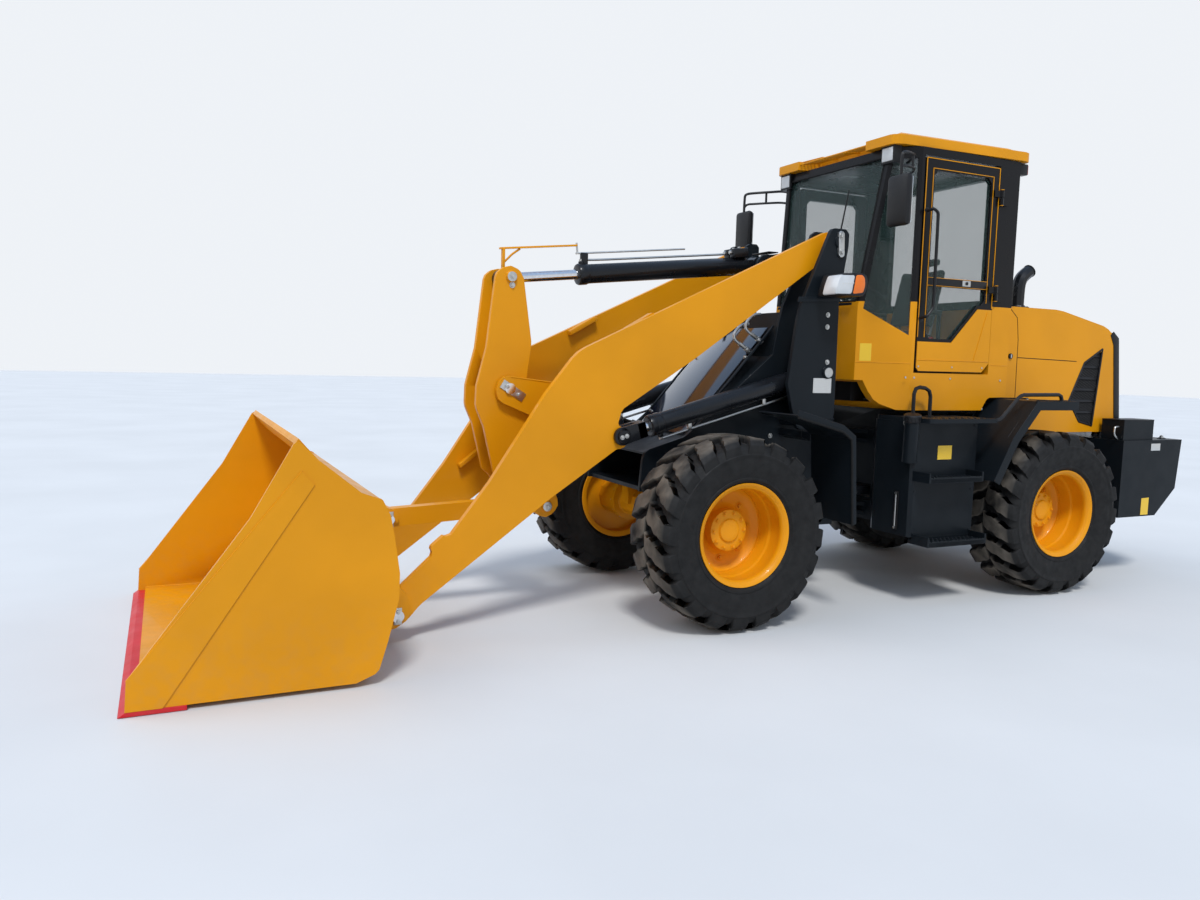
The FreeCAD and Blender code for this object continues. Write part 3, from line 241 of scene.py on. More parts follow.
def moulded(name, colour, roughness, grain=420.0, depth=0.2, specular=0.3):
    """Moulded plastic with a fine leather-like grain."""
    made = Shader(name, colour, roughness, specular=specular)
    cells = made.node("ShaderNodeTexVoronoi", (("Scale", grain),))
    made.link(made.coords, cells.inputs["Vector"])
    made.bump(cells.outputs["Distance"], depth, 0.0006)
    made.colour(made.mix(made.ramp(made.noise(8.0, 4.0), 0.3, 0.7), shaded(colour, 0.8), colour))
    made.rough(made.ramp(made.noise(25.0, 4.0), 0.2, 0.8, roughness * 0.85, min(1.0, roughness * 1.2)))
    return made.material


def tinted_glass(name, colour, alpha):
    made = Shader(name, colour, 0.09, specular=0.8)
    made.preset("Alpha", alpha)
    made.preset("IOR", 1.5)
    made.colour(made.mix(made.ramp(made.noise(3.0, 2.0), 0.4, 0.6), shaded(colour, 0.92), colour))
    return made.material


def woven(name, colour, threads):
    made = Shader(name, colour, 0.85)
    waves = []
    for direction in "XZ":
        wave = made.node("ShaderNodeTexWave", (("Scale", threads),), bands_direction=direction)
        made.link(made.coords, wave.inputs["Vector"])
        waves.append(wave.outputs["Fac"])
    weave = made.math("MAXIMUM", *waves)
    made.bump(weave, 0.4, 0.0008)
    made.colour(made.mix(weave, shaded(colour, 0.55), colour))
    made.preset("Sheen Weight", 0.3)
    return made.material


def make_materials(look):
    yellow = tuple(look.body_colour)
    dark = tuple(look.frame_colour)
    rim = (yellow[0] * 1.05, yellow[1] * 1.02, yellow[2])
    MATERIALS.update({
        "body_yellow": paint("body yellow enamel", yellow, 0.36, 0.08, 0.18),
        "rim_yellow": paint("rim yellow enamel", rim, 0.42, 0.06, 0.2),
        "gloss_black": paint("gloss blue black panel", (0.007, 0.010, 0.020), 0.1, 1.0, 0.5),
        "frame_black": paint("frame blue black enamel", dark, 0.38, 0.04, 0.14),
        "cab_black": paint("cab black enamel", (0.004, 0.004, 0.005), 0.28, 0.08, 0.18),
        "edge_red": paint("cutting edge red", (0.55, 0.012, 0.02), 0.45, 0.1),
        "cylinder_black": paint("cylinder black enamel", (0.007, 0.008, 0.010), 0.28, 0.15),
        "tyre_front": tyre_rubber("front tyre rubber", FRONT_AXLE_X),
        "tyre_rear": tyre_rubber("rear tyre rubber", REAR_AXLE_X),
        "chrome": metal("ground chrome", (0.78, 0.79, 0.81), 0.12),
        "steel": metal("zinc plated steel", (0.6, 0.6, 0.58), 0.35),
        "cast": metal("rough cast iron", (0.07, 0.07, 0.07), 0.7),
        "trim_black": moulded("black moulded trim", (0.008, 0.008, 0.009), 0.42),
        "rubber": moulded("soft black rubber", (0.007, 0.007, 0.007), 0.7, 250.0, 0.1, 0.2),
        # Glass colour: its green tint, made lighter as a painted sky reflection so the panes look hazy.
        "glass": tinted_glass("green glass tint with painted sky reflection", (0.045, 0.08, 0.072), 0.24),
        "seat": woven("seat cloth", (0.02, 0.021, 0.025), 900.0),
        "lens": moulded("clear lamp lens", (0.58, 0.60, 0.61), 0.08, 150.0, 0.8, 0.8),
        "amber": moulded("amber lens", (0.80, 0.17, 0.01), 0.15, 150.0, 0.5, 0.5),
        "tail_red": moulded("red lens", (0.45, 0.008, 0.008), 0.15, 150.0, 0.5, 0.5),
        "mirror": metal("mirror glass", (0.85, 0.87, 0.88), 0.03),
        "plate": metal("brushed plate", (0.72, 0.72, 0.70), 0.4, (1.0, 1.0, 30.0)),
        "plate_yellow": paint("blank plate yellow", (0.82, 0.52, 0.03), 0.3, 0.3),
    })


FINISHES = {
    "body_yellow": ["boom", "bellcrank", "bucket_link", "bucket", "cab_skirt", "roof", "hood",
                    "front_axle", "rear_axle", "door_skin_left", "door_skin_right"],
    "edge_red": ["cutting_edge"],
    "rim_yellow": ["rim_front_left", "rim_front_right", "rim_rear_left", "rim_rear_right"],
    "tyre_front": ["tyre_front_left", "tyre_front_right"],
    "tyre_rear": ["tyre_rear_left", "tyre_rear_right"],
    "frame_black": ["front_chassis", "rear_chassis", "counterweight", "side_tank_left", "side_tank_right",
                    "front_fenders", "rear_fenders"],
    "cab_black": ["cab_frame", "door_left", "door_right"],
    "cylinder_black": ["lift_barrel_left", "lift_barrel_right", "steer_barrel_left", "steer_barrel_right",
                       "tilt_barrel"],
    "chrome": ["bellcrank_pin", "bucket_pins", "link_pin", "steer_rod_left", "steer_rod_right",
               "tilt_piston", "tilt_rod", "lift_rod_left", "lift_rod_right"],
    "cast": ["engine_block"],
    "trim_black": ["headlamps", "mirrors", "steering_column", "seat_base",
                   "hood_grilles", "exhaust_pipe", "handrails", "work_lamps"],
    "glass": ["cab_glass", "door_glass_left", "door_glass_right"],
    "seat": ["seat_cushions"],
}


def dress(piece, finish):
    piece.data.materials.clear()
    piece.data.materials.append(MATERIALS[finish])


def finished(name, mesh):
    """Turn a bmesh into an object at the origin."""
    data = bpy.data.meshes.new(name)
    mesh.to_mesh(data)
    mesh.free()
    piece = bpy.data.objects.new(name, data)
    bpy.context.scene.collection.objects.link(piece)
    return piece


def fitted(piece, finish, body, angle=None):
    """Give a new piece its finish, shading and body."""
    dress(piece, finish)
    piece.data.shade_smooth()
    if angle:
        piece.data.set_sharp_from_angle(angle=math.radians(angle))
    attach(piece, body)
    return piece


# Stage
class LoaderStage(bpy.types.PropertyGroup):
    floor_colour: FloatVectorProperty(
        name="Floor colour", description="Colour of the plain floor", subtype="COLOR",
        default=(0.62, 0.62, 0.61), min=0, max=1)
    sky_strength: FloatProperty(
        name="Sky strength", description="Strength of the even light from all round", default=0.85, min=0)
    sun_strength: FloatProperty(
        name="Key strength", description="Strength of the soft key light", default=2.2, min=0)


class LoaderLook(bpy.types.PropertyGroup):
    body_colour: FloatVectorProperty(
        name="Body colour", description="Enamel of the arms, bucket, hood and skirt", subtype="COLOR",
        default=(0.70, 0.282, 0.003), min=0, max=1)
    frame_colour: FloatVectorProperty(
        name="Frame colour", description="Enamel of the frames, tanks and counterweight", subtype="COLOR",
        default=(0.007, 0.010, 0.013), min=0, max=1)


FLOOR_HALF = 60
FLOOR_DROP = 0.002
HORIZON_COLOUR = (1.0, 0.99, 0.97, 1)
ZENITH_COLOUR = (0.50, 0.68, 0.98, 1)
BACKDROP_COLOUR = (0.86, 0.89, 0.93, 1)


class LOADER_OT_stage(bpy.types.Operator):
    """Floor, light and the camera at the photograph's angle"""

    bl_idname = "loader.stage"
    bl_label = "Stage"

    def execute(self, context):
        settings = context.scene.loader_stage
        mesh = bmesh.new()
        bmesh.ops.create_grid(mesh, x_segments=2, y_segments=2, size=FLOOR_HALF)
        bmesh.ops.translate(mesh, verts=mesh.verts, vec=(0, 0, -FLOOR_DROP))
        floor = finished("floor", mesh)
        pale = tuple(settings.floor_colour)
        made = Shader("pale concrete", pale, 0.8)
        made.colour(made.mix(made.ramp(made.noise(0.6, 6.0), 0.35, 0.65), shaded(pale, 0.94), pale))
        floor.data.materials.append(made.material)
        context.scene.world = sky(settings.sky_strength)
        lights = (("key", (2.5, 6.0, 9.0), settings.sun_strength, 12),
                  ("fill", (7.0, -3.0, 7.0), settings.sun_strength * 0.35, 40))
        for name, place, strength, spread in lights:
            lamp = bpy.data.lights.new(name, "SUN")
            lamp.energy = strength
            lamp.angle = math.radians(spread)
            holder = bpy.data.objects.new(name, lamp)
            holder.rotation_euler = Vector(place).to_track_quat("Z", "Y").to_euler()
            context.scene.collection.objects.link(holder)
        context.scene.view_settings.view_transform = "Standard"
        place_camera(context)
        return {"FINISHED"}


def sky(strength):
    """Light that turns from white at the horizon to blue, with a plain pale backdrop for the camera."""
    world = bpy.data.worlds.new("sky")
    world.use_nodes = True
    nodes, join = world.node_tree.nodes, world.node_tree.links.new
    height = nodes.new("ShaderNodeSeparateXYZ")
    rise = nodes.new("ShaderNodeMapRange")
    rise.inputs["From Max"].default_value = 0.75
    fade = nodes.new("ShaderNodeMix")
    fade.data_type = "RGBA"
    fade.inputs[6].default_value = HORIZON_COLOUR
    fade.inputs[7].default_value = ZENITH_COLOUR
    light = nodes["Background"]
    light.inputs["Strength"].default_value = strength
    seen = nodes.new("ShaderNodeBackground")
    seen.inputs["Color"].default_value = BACKDROP_COLOUR
    path = nodes.new("ShaderNodeLightPath")
    direct = nodes.new("ShaderNodeMath")
    direct.operation = "MAXIMUM"
    blend = nodes.new("ShaderNodeMixShader")
    for out, into in ((nodes.new("ShaderNodeTexCoord").outputs["Generated"], height.inputs[0]),
                      (height.outputs["Z"], rise.inputs["Value"]),
                      (rise.outputs["Result"], fade.inputs["Factor"]),
                      (fade.outputs[2], light.inputs["Color"]),
                      (path.outputs["Is Camera Ray"], direct.inputs[0]),
                      (path.outputs["Is Transmission Ray"], direct.inputs[1]),
                      (direct.outputs[0], blend.inputs["Fac"]),
                      (light.outputs[0], blend.inputs[1]),
                      (seen.outputs[0], blend.inputs[2]),
                      (blend.outputs[0], nodes["World Output"].inputs["Surface"])):
        join(out, into)
    return world


# The camera, solved from the photograph
CAMERA_PLACE = (2774, 4920.3, 1431)
CAMERA_YAW = math.radians(-115.4439)
CAMERA_PITCH = math.radians(-5.5216)
CAMERA_ROLL = math.radians(1.4805)
CAMERA_FOCAL_PIXELS = 914.53
PHOTO_WIDTH = 1200


def place_camera(context):
    lens = bpy.data.cameras.new("photograph camera")
    lens.sensor_fit = "HORIZONTAL"
    lens.sensor_width = 36
    lens.lens = CAMERA_FOCAL_PIXELS / PHOTO_WIDTH * lens.sensor_width
    lens.clip_end = 300
    camera = bpy.data.objects.new("photograph camera", lens)
    ahead = Vector((math.cos(CAMERA_PITCH) * math.cos(CAMERA_YAW),
                    math.cos(CAMERA_PITCH) * math.sin(CAMERA_YAW), math.sin(CAMERA_PITCH)))
    level_right = ahead.cross(UP).normalized()
    level_up = level_right.cross(ahead)
    right = level_right * math.cos(CAMERA_ROLL) + level_up * math.sin(CAMERA_ROLL)
    up = level_up * math.cos(CAMERA_ROLL) - level_right * math.sin(CAMERA_ROLL)
    turn = Matrix((right, up, -ahead)).transposed().to_4x4()
    camera.matrix_world = Matrix.Translation(at(*CAMERA_PLACE)) @ turn
    context.scene.collection.objects.link(camera)
    context.scene.camera = camera


class LOADER_OT_finishes(bpy.types.Operator):
    """Give every carried-over node its finish"""

    bl_idname = "loader.finishes"
    bl_label = "Finishes"

    def execute(self, context):
        make_materials(context.scene.loader_look)
        for finish, names in FINISHES.items():
            for name in names:
                dress(NODES[name], finish)
        return {"FINISHED"}


# Drawing helpers
def soften(mesh, edges, width, segments=2):
    bmesh.ops.bevel(mesh, geom=list(edges), offset=width, offset_type="OFFSET", affect="EDGES",
                    segments=segments, profile=0.5, material=-1, clamp_overlap=True)


def touching(corners):
    return {edge for corner in corners for edge in corner.link_edges}


class Kit:
    """The pieces of one group on one body, a mesh for each finish."""

    def __init__(self, name, body, side=1):
        self.name = name
        self.body = body
        self.side = side
        self.meshes = {}

    def mesh(self, finish):
        if finish not in self.meshes:
            self.meshes[finish] = bmesh.new()
        return self.meshes[finish]

    def box(self, finish, low, high, bevel=0.002, turn=None):
        low, high = spot(low), spot(high)
        place = Matrix.Translation((low + high) / 2) @ (turn or Matrix.Identity(4))
        place = place @ Matrix.Diagonal((*(high - low), 1))
        mesh = self.mesh(finish)
        corners = bmesh.ops.create_cube(mesh, size=1, matrix=place)["verts"]
        soften(mesh, touching(corners), bevel)

    def rod(self, finish, start, end, radius, end_radius=None, sides=24, bevel=0):
        start, end = spot(start), spot(end)
        along = end - start
        place = Matrix.Translation((start + end) / 2) @ along.to_track_quat("Z", "Y").to_matrix().to_4x4()
        mesh = self.mesh(finish)
        made = bmesh.ops.create_cone(mesh, cap_ends=True, segments=sides, radius1=radius,
                                     radius2=radius if end_radius is None else end_radius,
                                     depth=along.length, matrix=place)["verts"]
        if bevel:
            way = along.normalized()
            rims = [edge for edge in touching(made)
                    if abs((edge.verts[1].co - edge.verts[0].co).dot(way)) < along.length * 0.1]
            soften(mesh, rims, bevel)

    def rods(self, finish, places, reach, radius, end_radius=None, sides=24, bevel=0):
        """The same rod at each place; reach is in millimetres."""
        for x, y, z in places:
            end = (x + reach[0], y + reach[1], z + reach[2])
            self.rod(finish, (x, y, z), end, radius, end_radius, sides, bevel)

    def cap(self, finish, place, radius, thick):
        place = spot(place)
        self.rod(finish, place, place + LEFT * thick, radius, sides=36, bevel=thick * 0.3)

    def bolt(self, finish, place, out, size):
        """Hexagon head on a washer, with the end of its thread."""
        place, out = spot(place), out.normalized()
        self.rod(finish, place, place + out * size * 0.3, size * 1.5, sides=20)
        self.rod(finish, place + out * size * 0.3, place + out * size * 1.1, size, sides=6, bevel=size * 0.12)
        self.rod(finish, place + out * size * 1.1, place + out * size * 1.35, size * 0.55, sides=14)

    def bolts(self, places, out, size, finish="steel"):
        for place in places:
            self.bolt(finish, place, out, size)

    def keeper(self, place, along, length, width):
        """Steel keeper plate on the left face, with its two bolts."""
        place = spot(place)
        half = along * (length / 2)
        wide = LEFT.cross(along).normalized() * (width / 2)
        out = LEFT * 0.006
        corners = [place - half - wide, place + half - wide, place + half + wide, place - half + wide]
        self.prism("steel", corners, out, 0.0015)
        for share in (-0.25, 0.25):
            self.bolt("steel", place + along * (length * 1.1 * share) + out, LEFT, 0.011)

    def pipe(self, finish, points, radius, order=3):
        """Tube along a smooth line through the neighbourhood of these points."""
        line = bpy.data.curves.new("route", "CURVE")
        line.dimensions = "3D"
        run = line.splines.new("NURBS")
        run.points.add(len(points) - 1)
        for knot, point in zip(run.points, points):
            knot.co = (*spot(point), 1)
        run.order_u = order
        run.use_endpoint_u = True
        line.resolution_u = 6
        line.bevel_depth = radius
        line.bevel_resolution = 3
        line.use_fill_caps = True
        holder = bpy.data.objects.new("route", line)
        data = bpy.data.meshes.new_from_object(holder)
        self.mesh(finish).from_mesh(data)
        bpy.data.objects.remove(holder)
        bpy.data.meshes.remove(data)
        bpy.data.curves.remove(line)

    def prism(self, finish, outline, out, bevel=0.0):
        """Flat face through the outline's points, drawn out along a vector."""
        mesh = self.mesh(finish)
        face = mesh.faces.new([mesh.verts.new(spot(point)) for point in outline])
        made = bmesh.ops.extrude_face_region(mesh, geom=[face], use_keep_orig=True)["geom"]
        corners = [item for item in made if isinstance(item, bmesh.types.BMVert)]
        bmesh.ops.translate(mesh, verts=corners, vec=out)
        if bevel:
            soften(mesh, touching(corners), bevel)

    def plate(self, finish, y, thick, rows, bevel=0.0):
        """Upright plate with its right face at y; rows give its outline, ahead and up."""
        self.prism(finish, [(x, y, z) for x, z in rows], LEFT * (thick / 1000), bevel)

    def lathe(self, finish, profile, centre, axis, segments=64, closed=False):
        """Profile rows of radius and distance along the axis, turned right round."""
        mesh = self.mesh(finish)
        centre, axis = spot(centre), axis.normalized()
        out = axis.orthogonal().normalized()
        points = [mesh.verts.new(centre + out * (row[0] / 1000) + axis * (row[1] / 1000)) for row in profile]
        edges = [mesh.edges.new(pair) for pair in zip(points, points[1:])]
        if closed:
            edges.append(mesh.edges.new((points[-1], points[0])))
        before = len(mesh.verts) - len(points)
        bmesh.ops.spin(mesh, geom=points + edges, cent=centre, axis=axis, angle=2 * math.pi, steps=segments,
                       use_merge=True, use_normal_flip=False, use_duplicate=False)
        mesh.verts.ensure_lookup_table()
        bmesh.ops.remove_doubles(mesh, verts=mesh.verts[before:], dist=1e-5)

    def ring(self, finish, inner, outer, low, high, centre, axis=LEFT, segments=40):
        rows = [(inner, low), (outer, low), (outer, high), (inner, high)]
        self.lathe(finish, rows, centre, axis, segments, closed=True)

    def grille(self, finish, outline, across, pitch, wire):
        """Woven wire inside a convex outline; across is the row direction in the outline's plane."""
        centre = sum(outline, Vector()) / len(outline)
        out = (outline[1] - outline[0]).cross(outline[2] - outline[1]).normalized()
        across = across.normalized()
        turn = Matrix((across, out.cross(across), out)).transposed().to_4x4()
        count = math.ceil(2 * max((point - centre).length for point in outline) / pitch)
        panel = bmesh.new()
        bmesh.ops.create_grid(panel, x_segments=count, y_segments=count, size=count * pitch / 2,
                              matrix=Matrix.Translation(centre) @ turn)
        for start, end in zip(outline, outline[1:] + outline[:1]):
            edge_out = (end - start).cross(out).normalized()
            if edge_out.dot(centre - start) > 0:
                edge_out.negate()
            bmesh.ops.bisect_plane(panel, geom=panel.verts[:] + panel.edges[:] + panel.faces[:],
                                   plane_co=start, plane_no=edge_out, clear_outer=True)
        bmesh.ops.wireframe(panel, faces=panel.faces[:], thickness=wire, use_even_offset=True,
                            use_boundary=True, use_replace=True)
        data = bpy.data.meshes.new("wires")
        panel.to_mesh(data)
        panel.free()
        self.mesh(finish).from_mesh(data)
        bpy.data.meshes.remove(data)

    def place(self, both=False, instead_of=(), angle=34):
        for finish, mesh in self.meshes.items():
            if both:
                copy = bmesh.ops.duplicate(mesh, geom=mesh.verts[:] + mesh.edges[:] + mesh.faces[:])["geom"]
                bmesh.ops.scale(mesh, verts=[item for item in copy if isinstance(item, bmesh.types.BMVert)],
                                vec=(1, -1, 1))
            elif self.side < 0:
                bmesh.ops.scale(mesh, verts=mesh.verts, vec=(1, -1, 1))
            bmesh.ops.recalc_face_normals(mesh, faces=mesh.faces)
            fitted(finished(self.name + "_" + finish, mesh), finish, self.body, angle)
        if instead_of:
            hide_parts(*instead_of)


# Bevel of each big solid, in millimetres
EDGE_WIDTHS = {
    "boom": 4, "bellcrank": 4, "bucket": 3, "bucket_link": 4, "cab_skirt": 7, "roof": 7, "hood": 4,
    "counterweight": 5, "side_tank_left": 5, "side_tank_right": 5, "front_chassis": 3, "rear_chassis": 3,
    "front_fenders": 3, "rear_fenders": 3, "cab_frame": 4, "door_left": 3, "door_right": 3, "front_axle": 5,
    "rear_axle": 5, "seat_base": 5, "cutting_edge": 2,
}
SHARP_TURN = math.radians(28)


class LOADER_OT_edges(bpy.types.Operator):
    """Round the sharp edges of the big solids, so that they catch the light as pressed steel does"""

    bl_idname = "loader.edges"
    bl_label = "Edges"

    def execute(self, context):
        finishes = {name: finish for finish, names in FINISHES.items() for name in names}
        for name, width in EDGE_WIDTHS.items():
            mesh = bmesh.new()
            mesh.from_mesh(NODES[name].data)
            bmesh.ops.remove_doubles(mesh, verts=mesh.verts, dist=2e-5)
            bmesh.ops.dissolve_limit(mesh, angle_limit=math.radians(1), verts=mesh.verts, edges=mesh.edges,
                                     use_dissolve_boundaries=False)
            sharp = [edge for edge in mesh.edges if edge.is_manifold and edge.calc_face_angle() > SHARP_TURN]
            soften(mesh, sharp, width / 1000)
            piece = fitted(finished(name + "_rounded", mesh), finishes[name], NODES[name]["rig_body"], 50)
            piece.modifiers.new("even shading", "WEIGHTED_NORMAL").keep_sharp = True
            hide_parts(name)
        return {"FINISHED"}


# Wheels
WHEELS = [(end + "_" + name, axle, end, side) for end, axle in (("front", 0), ("rear", REAR_AXLE))
          for name, side in SIDES]
LUG_COUNT = 20
# Where one lug of the left outer row stands in the photograph, ahead of and under the axle
FIRST_LUG = (79, 522)
TYRE_WALL = [
    (257, 148), (262, 156), (281, 161), (287, 170), (296, 176), (300, 182), (310, 184), (314, 181),
    (340, 190), (372, 199), (405, 203), (424, 203), (428, 206), (438, 206), (442, 202), (462, 194),
    (478, 181), (487, 163), (488, 120),
]
# Lug sections from the centre out: along the tread, across it, width, top and root radius
LUG_SECTIONS = [
    (-60, 5, 104, 528, 482), (-34, 38, 112, 528, 482), (-30, 74, 116, 528, 482), (-2, 108, 118, 527, 482),
    (8, 140, 116, 525, 478), (32, 174, 108, 515, 464), (42, 202, 100, 488, 438),
]
# Corners of a section, as a share of its width and whether each is at the root or the top
LUG_CORNERS = ((-0.5, "root"), (-0.44, "top"), (0.44, "top"), (0.5, "root"))
LUG_BEVEL = 0.0045
CARCASS_RADIUS = 0.487


def lug_corners(row, way):
    along, across, width, top, root = row
    points = []
    for share, level in LUG_CORNERS:
        run = along + share * width
        radius = top if level == "top" else root
        points.append(Vector((run, way * across, math.sqrt(radius ** 2 - run ** 2))) / 1000)
    return points


def draw_lug(mesh, way):
    """One lug at the top of the wheel; way is 1 for the outer row and -1 for the inner."""
    made = [mesh.verts.new(point) for point in lug_corners(LUG_SECTIONS[0], way)]
    face = mesh.faces.new(made)
    for row in LUG_SECTIONS[1:]:
        grown = bmesh.ops.extrude_face_region(mesh, geom=[face], use_keep_orig=row is LUG_SECTIONS[1])["geom"]
        face = next(item for item in grown if isinstance(item, bmesh.types.BMFace))
        for corner, point in zip(face.verts, lug_corners(row, way)):
            corner.co = point
        made += list(face.verts)
    bmesh.ops.recalc_face_normals(mesh, faces=mesh.faces)
    soften(mesh, [edge for edge in touching(made)
                  if min(end.co.xz.length for end in edge.verts) > CARCASS_RADIUS], LUG_BEVEL)


def tyre_rows():
    """The tyre's two rows of lugs, about the origin."""
    rows = bmesh.new()
    pitch = 2 * math.pi / LUG_COUNT
    lead = math.pi - math.atan2(*FIRST_LUG)
    for way in (1, -1):
        lug = bmesh.new()
        draw_lug(lug, way)
        start = lead + (pitch / 2 if way < 0 else 0)
        bmesh.ops.rotate(lug, verts=lug.verts, cent=(0, 0, 0), matrix=Matrix.Rotation(start, 3, "Y"))
        bmesh.ops.spin(lug, geom=lug.verts[:] + lug.edges[:] + lug.faces[:], cent=(0, 0, 0), axis=LEFT,
                       angle=pitch * (LUG_COUNT - 1), steps=LUG_COUNT - 1, use_duplicate=True)
        data = bpy.data.meshes.new("row")
        lug.to_mesh(data)
        lug.free()
        rows.from_mesh(data)
        bpy.data.meshes.remove(data)
    return rows


class LOADER_OT_tyres(bpy.types.Operator):
    """Tyres with a rounded carcass, side wall rings and bevelled lugs"""

    bl_idname = "loader.tyres"
    bl_label = "Tyres"

    def execute(self, context):
        rows = tyre_rows()
        lugs = bpy.data.meshes.new("lugs")
        rows.to_mesh(lugs)
        rows.free()
        wall = TYRE_WALL + [(radius, -along) for radius, along in reversed(TYRE_WALL)]
        for corner, axle, end, side in WHEELS:
            kit = Kit("tyre_" + corner + "_look", "wheel_" + corner, side)
            mesh = kit.mesh("tyre_" + end)
            mesh.from_mesh(lugs)
            centre = at(axle, HALF_TRACK, AXLE_HEIGHT)
            bmesh.ops.translate(mesh, verts=mesh.verts, vec=centre)
            kit.lathe("tyre_" + end, wall, centre, LEFT, 96, closed=True)
            kit.place(instead_of=["tyre_" + corner], angle=38)
        bpy.data.meshes.remove(lugs)
        return {"FINISHED"}


RIM_PROFILE = [
    (256, -158), (270, -160), (279, -166), (281, -172), (277, -175), (262, -172), (247, -166), (244, -158),
    (244, -101), (61.5, -101), (61.5, -5), (0, -5), (0, 24), (34, 24), (52, 23), (60, 20), (63, 14), (68, 10),
    (108, 9), (114, 6), (116, 1), (116, -50), (119, -58), (129, -66), (138, -74), (152, -77), (196, -77),
    (214, -71), (232, -58), (240, -49), (244, -38), (244, 34), (246, 40), (251, 46), (252, 54), (252, 118),
    (249, 126), (249, 144), (255, 156), (266, 165), (275, 171), (281, 173), (283, 169), (280, 164),
    (270, 160), (256, 158),
]
RIM_BEAD = [(239, -52), (243, -48), (246, -40), (240, -40)]
# Bolts of the hub cover and the wheel: count, circle radius, place along the axle, size
RIM_BOLTS = ((10, 97, 9.5, 0.0085), (8, 168, -77, 0.014))
VALVE_TURN = -0.9


class LOADER_OT_rims(bpy.types.Operator):
    """Deep rims with a stepped barrel, hub cover bolts, wheel nuts and a valve"""

    bl_idname = "loader.rims"
    bl_label = "Rims"

    def execute(self, context):
        for corner, axle, end, side in WHEELS:
            kit = Kit("rim_" + corner + "_look", "wheel_" + corner, side)
            centre = at(axle, HALF_TRACK, AXLE_HEIGHT)
            for profile in (RIM_PROFILE, RIM_BEAD):
                kit.lathe("rim_yellow", profile, centre, LEFT, 96, closed=True)
            for count, radius, along, size in RIM_BOLTS:
                for out in spokes(count, AHEAD, UP):
                    kit.bolt("rim_yellow", centre + out * (radius / 1000) + LEFT * (along / 1000), LEFT, size)
            out = AHEAD * math.cos(VALVE_TURN) + UP * math.sin(VALVE_TURN)
            stem = centre + out * 0.226 + LEFT * 0.012
            kit.rod("rubber", centre + out * 0.243 - LEFT * 0.03, stem, 0.008, 0.005, 14)
            kit.rod("steel", stem, centre + out * 0.217 + LEFT * 0.036, 0.004, sides=12)
            kit.place(instead_of=["rim_" + corner])
        return {"FINISHED"}


# Cylinders
LIFT_FOOT, LIFT_EYE = at(-800, 435, 1400), at(524, 435, 1027)
TILT_FOOT, TILT_EYE = at(-630, 0, 2065), at(1055, 0, 1881)


def saddle(kit, foot, way, up, half, reach, wide):
    """Block between a cylinder's foot eye and its tube."""
    near, far = (foot + way * distance - LEFT * wide for distance in (0.036, reach))
    kit.prism("cylinder_black", [near + up * half, near - up * half, far - up * half, far + up * half],
              LEFT * (2 * wide))


def ports(kit, places, out, top, radius):
    """Bosses on the tube, each with its pipe nut."""
    for place in places:
        kit.rod("cylinder_black", place + out * 0.05, place + out * top, radius, sides=18, bevel=0.002)
        kit.rod("steel", place + out * (top - 0.002), place + out * (top + 0.012), 0.013, sides=6)


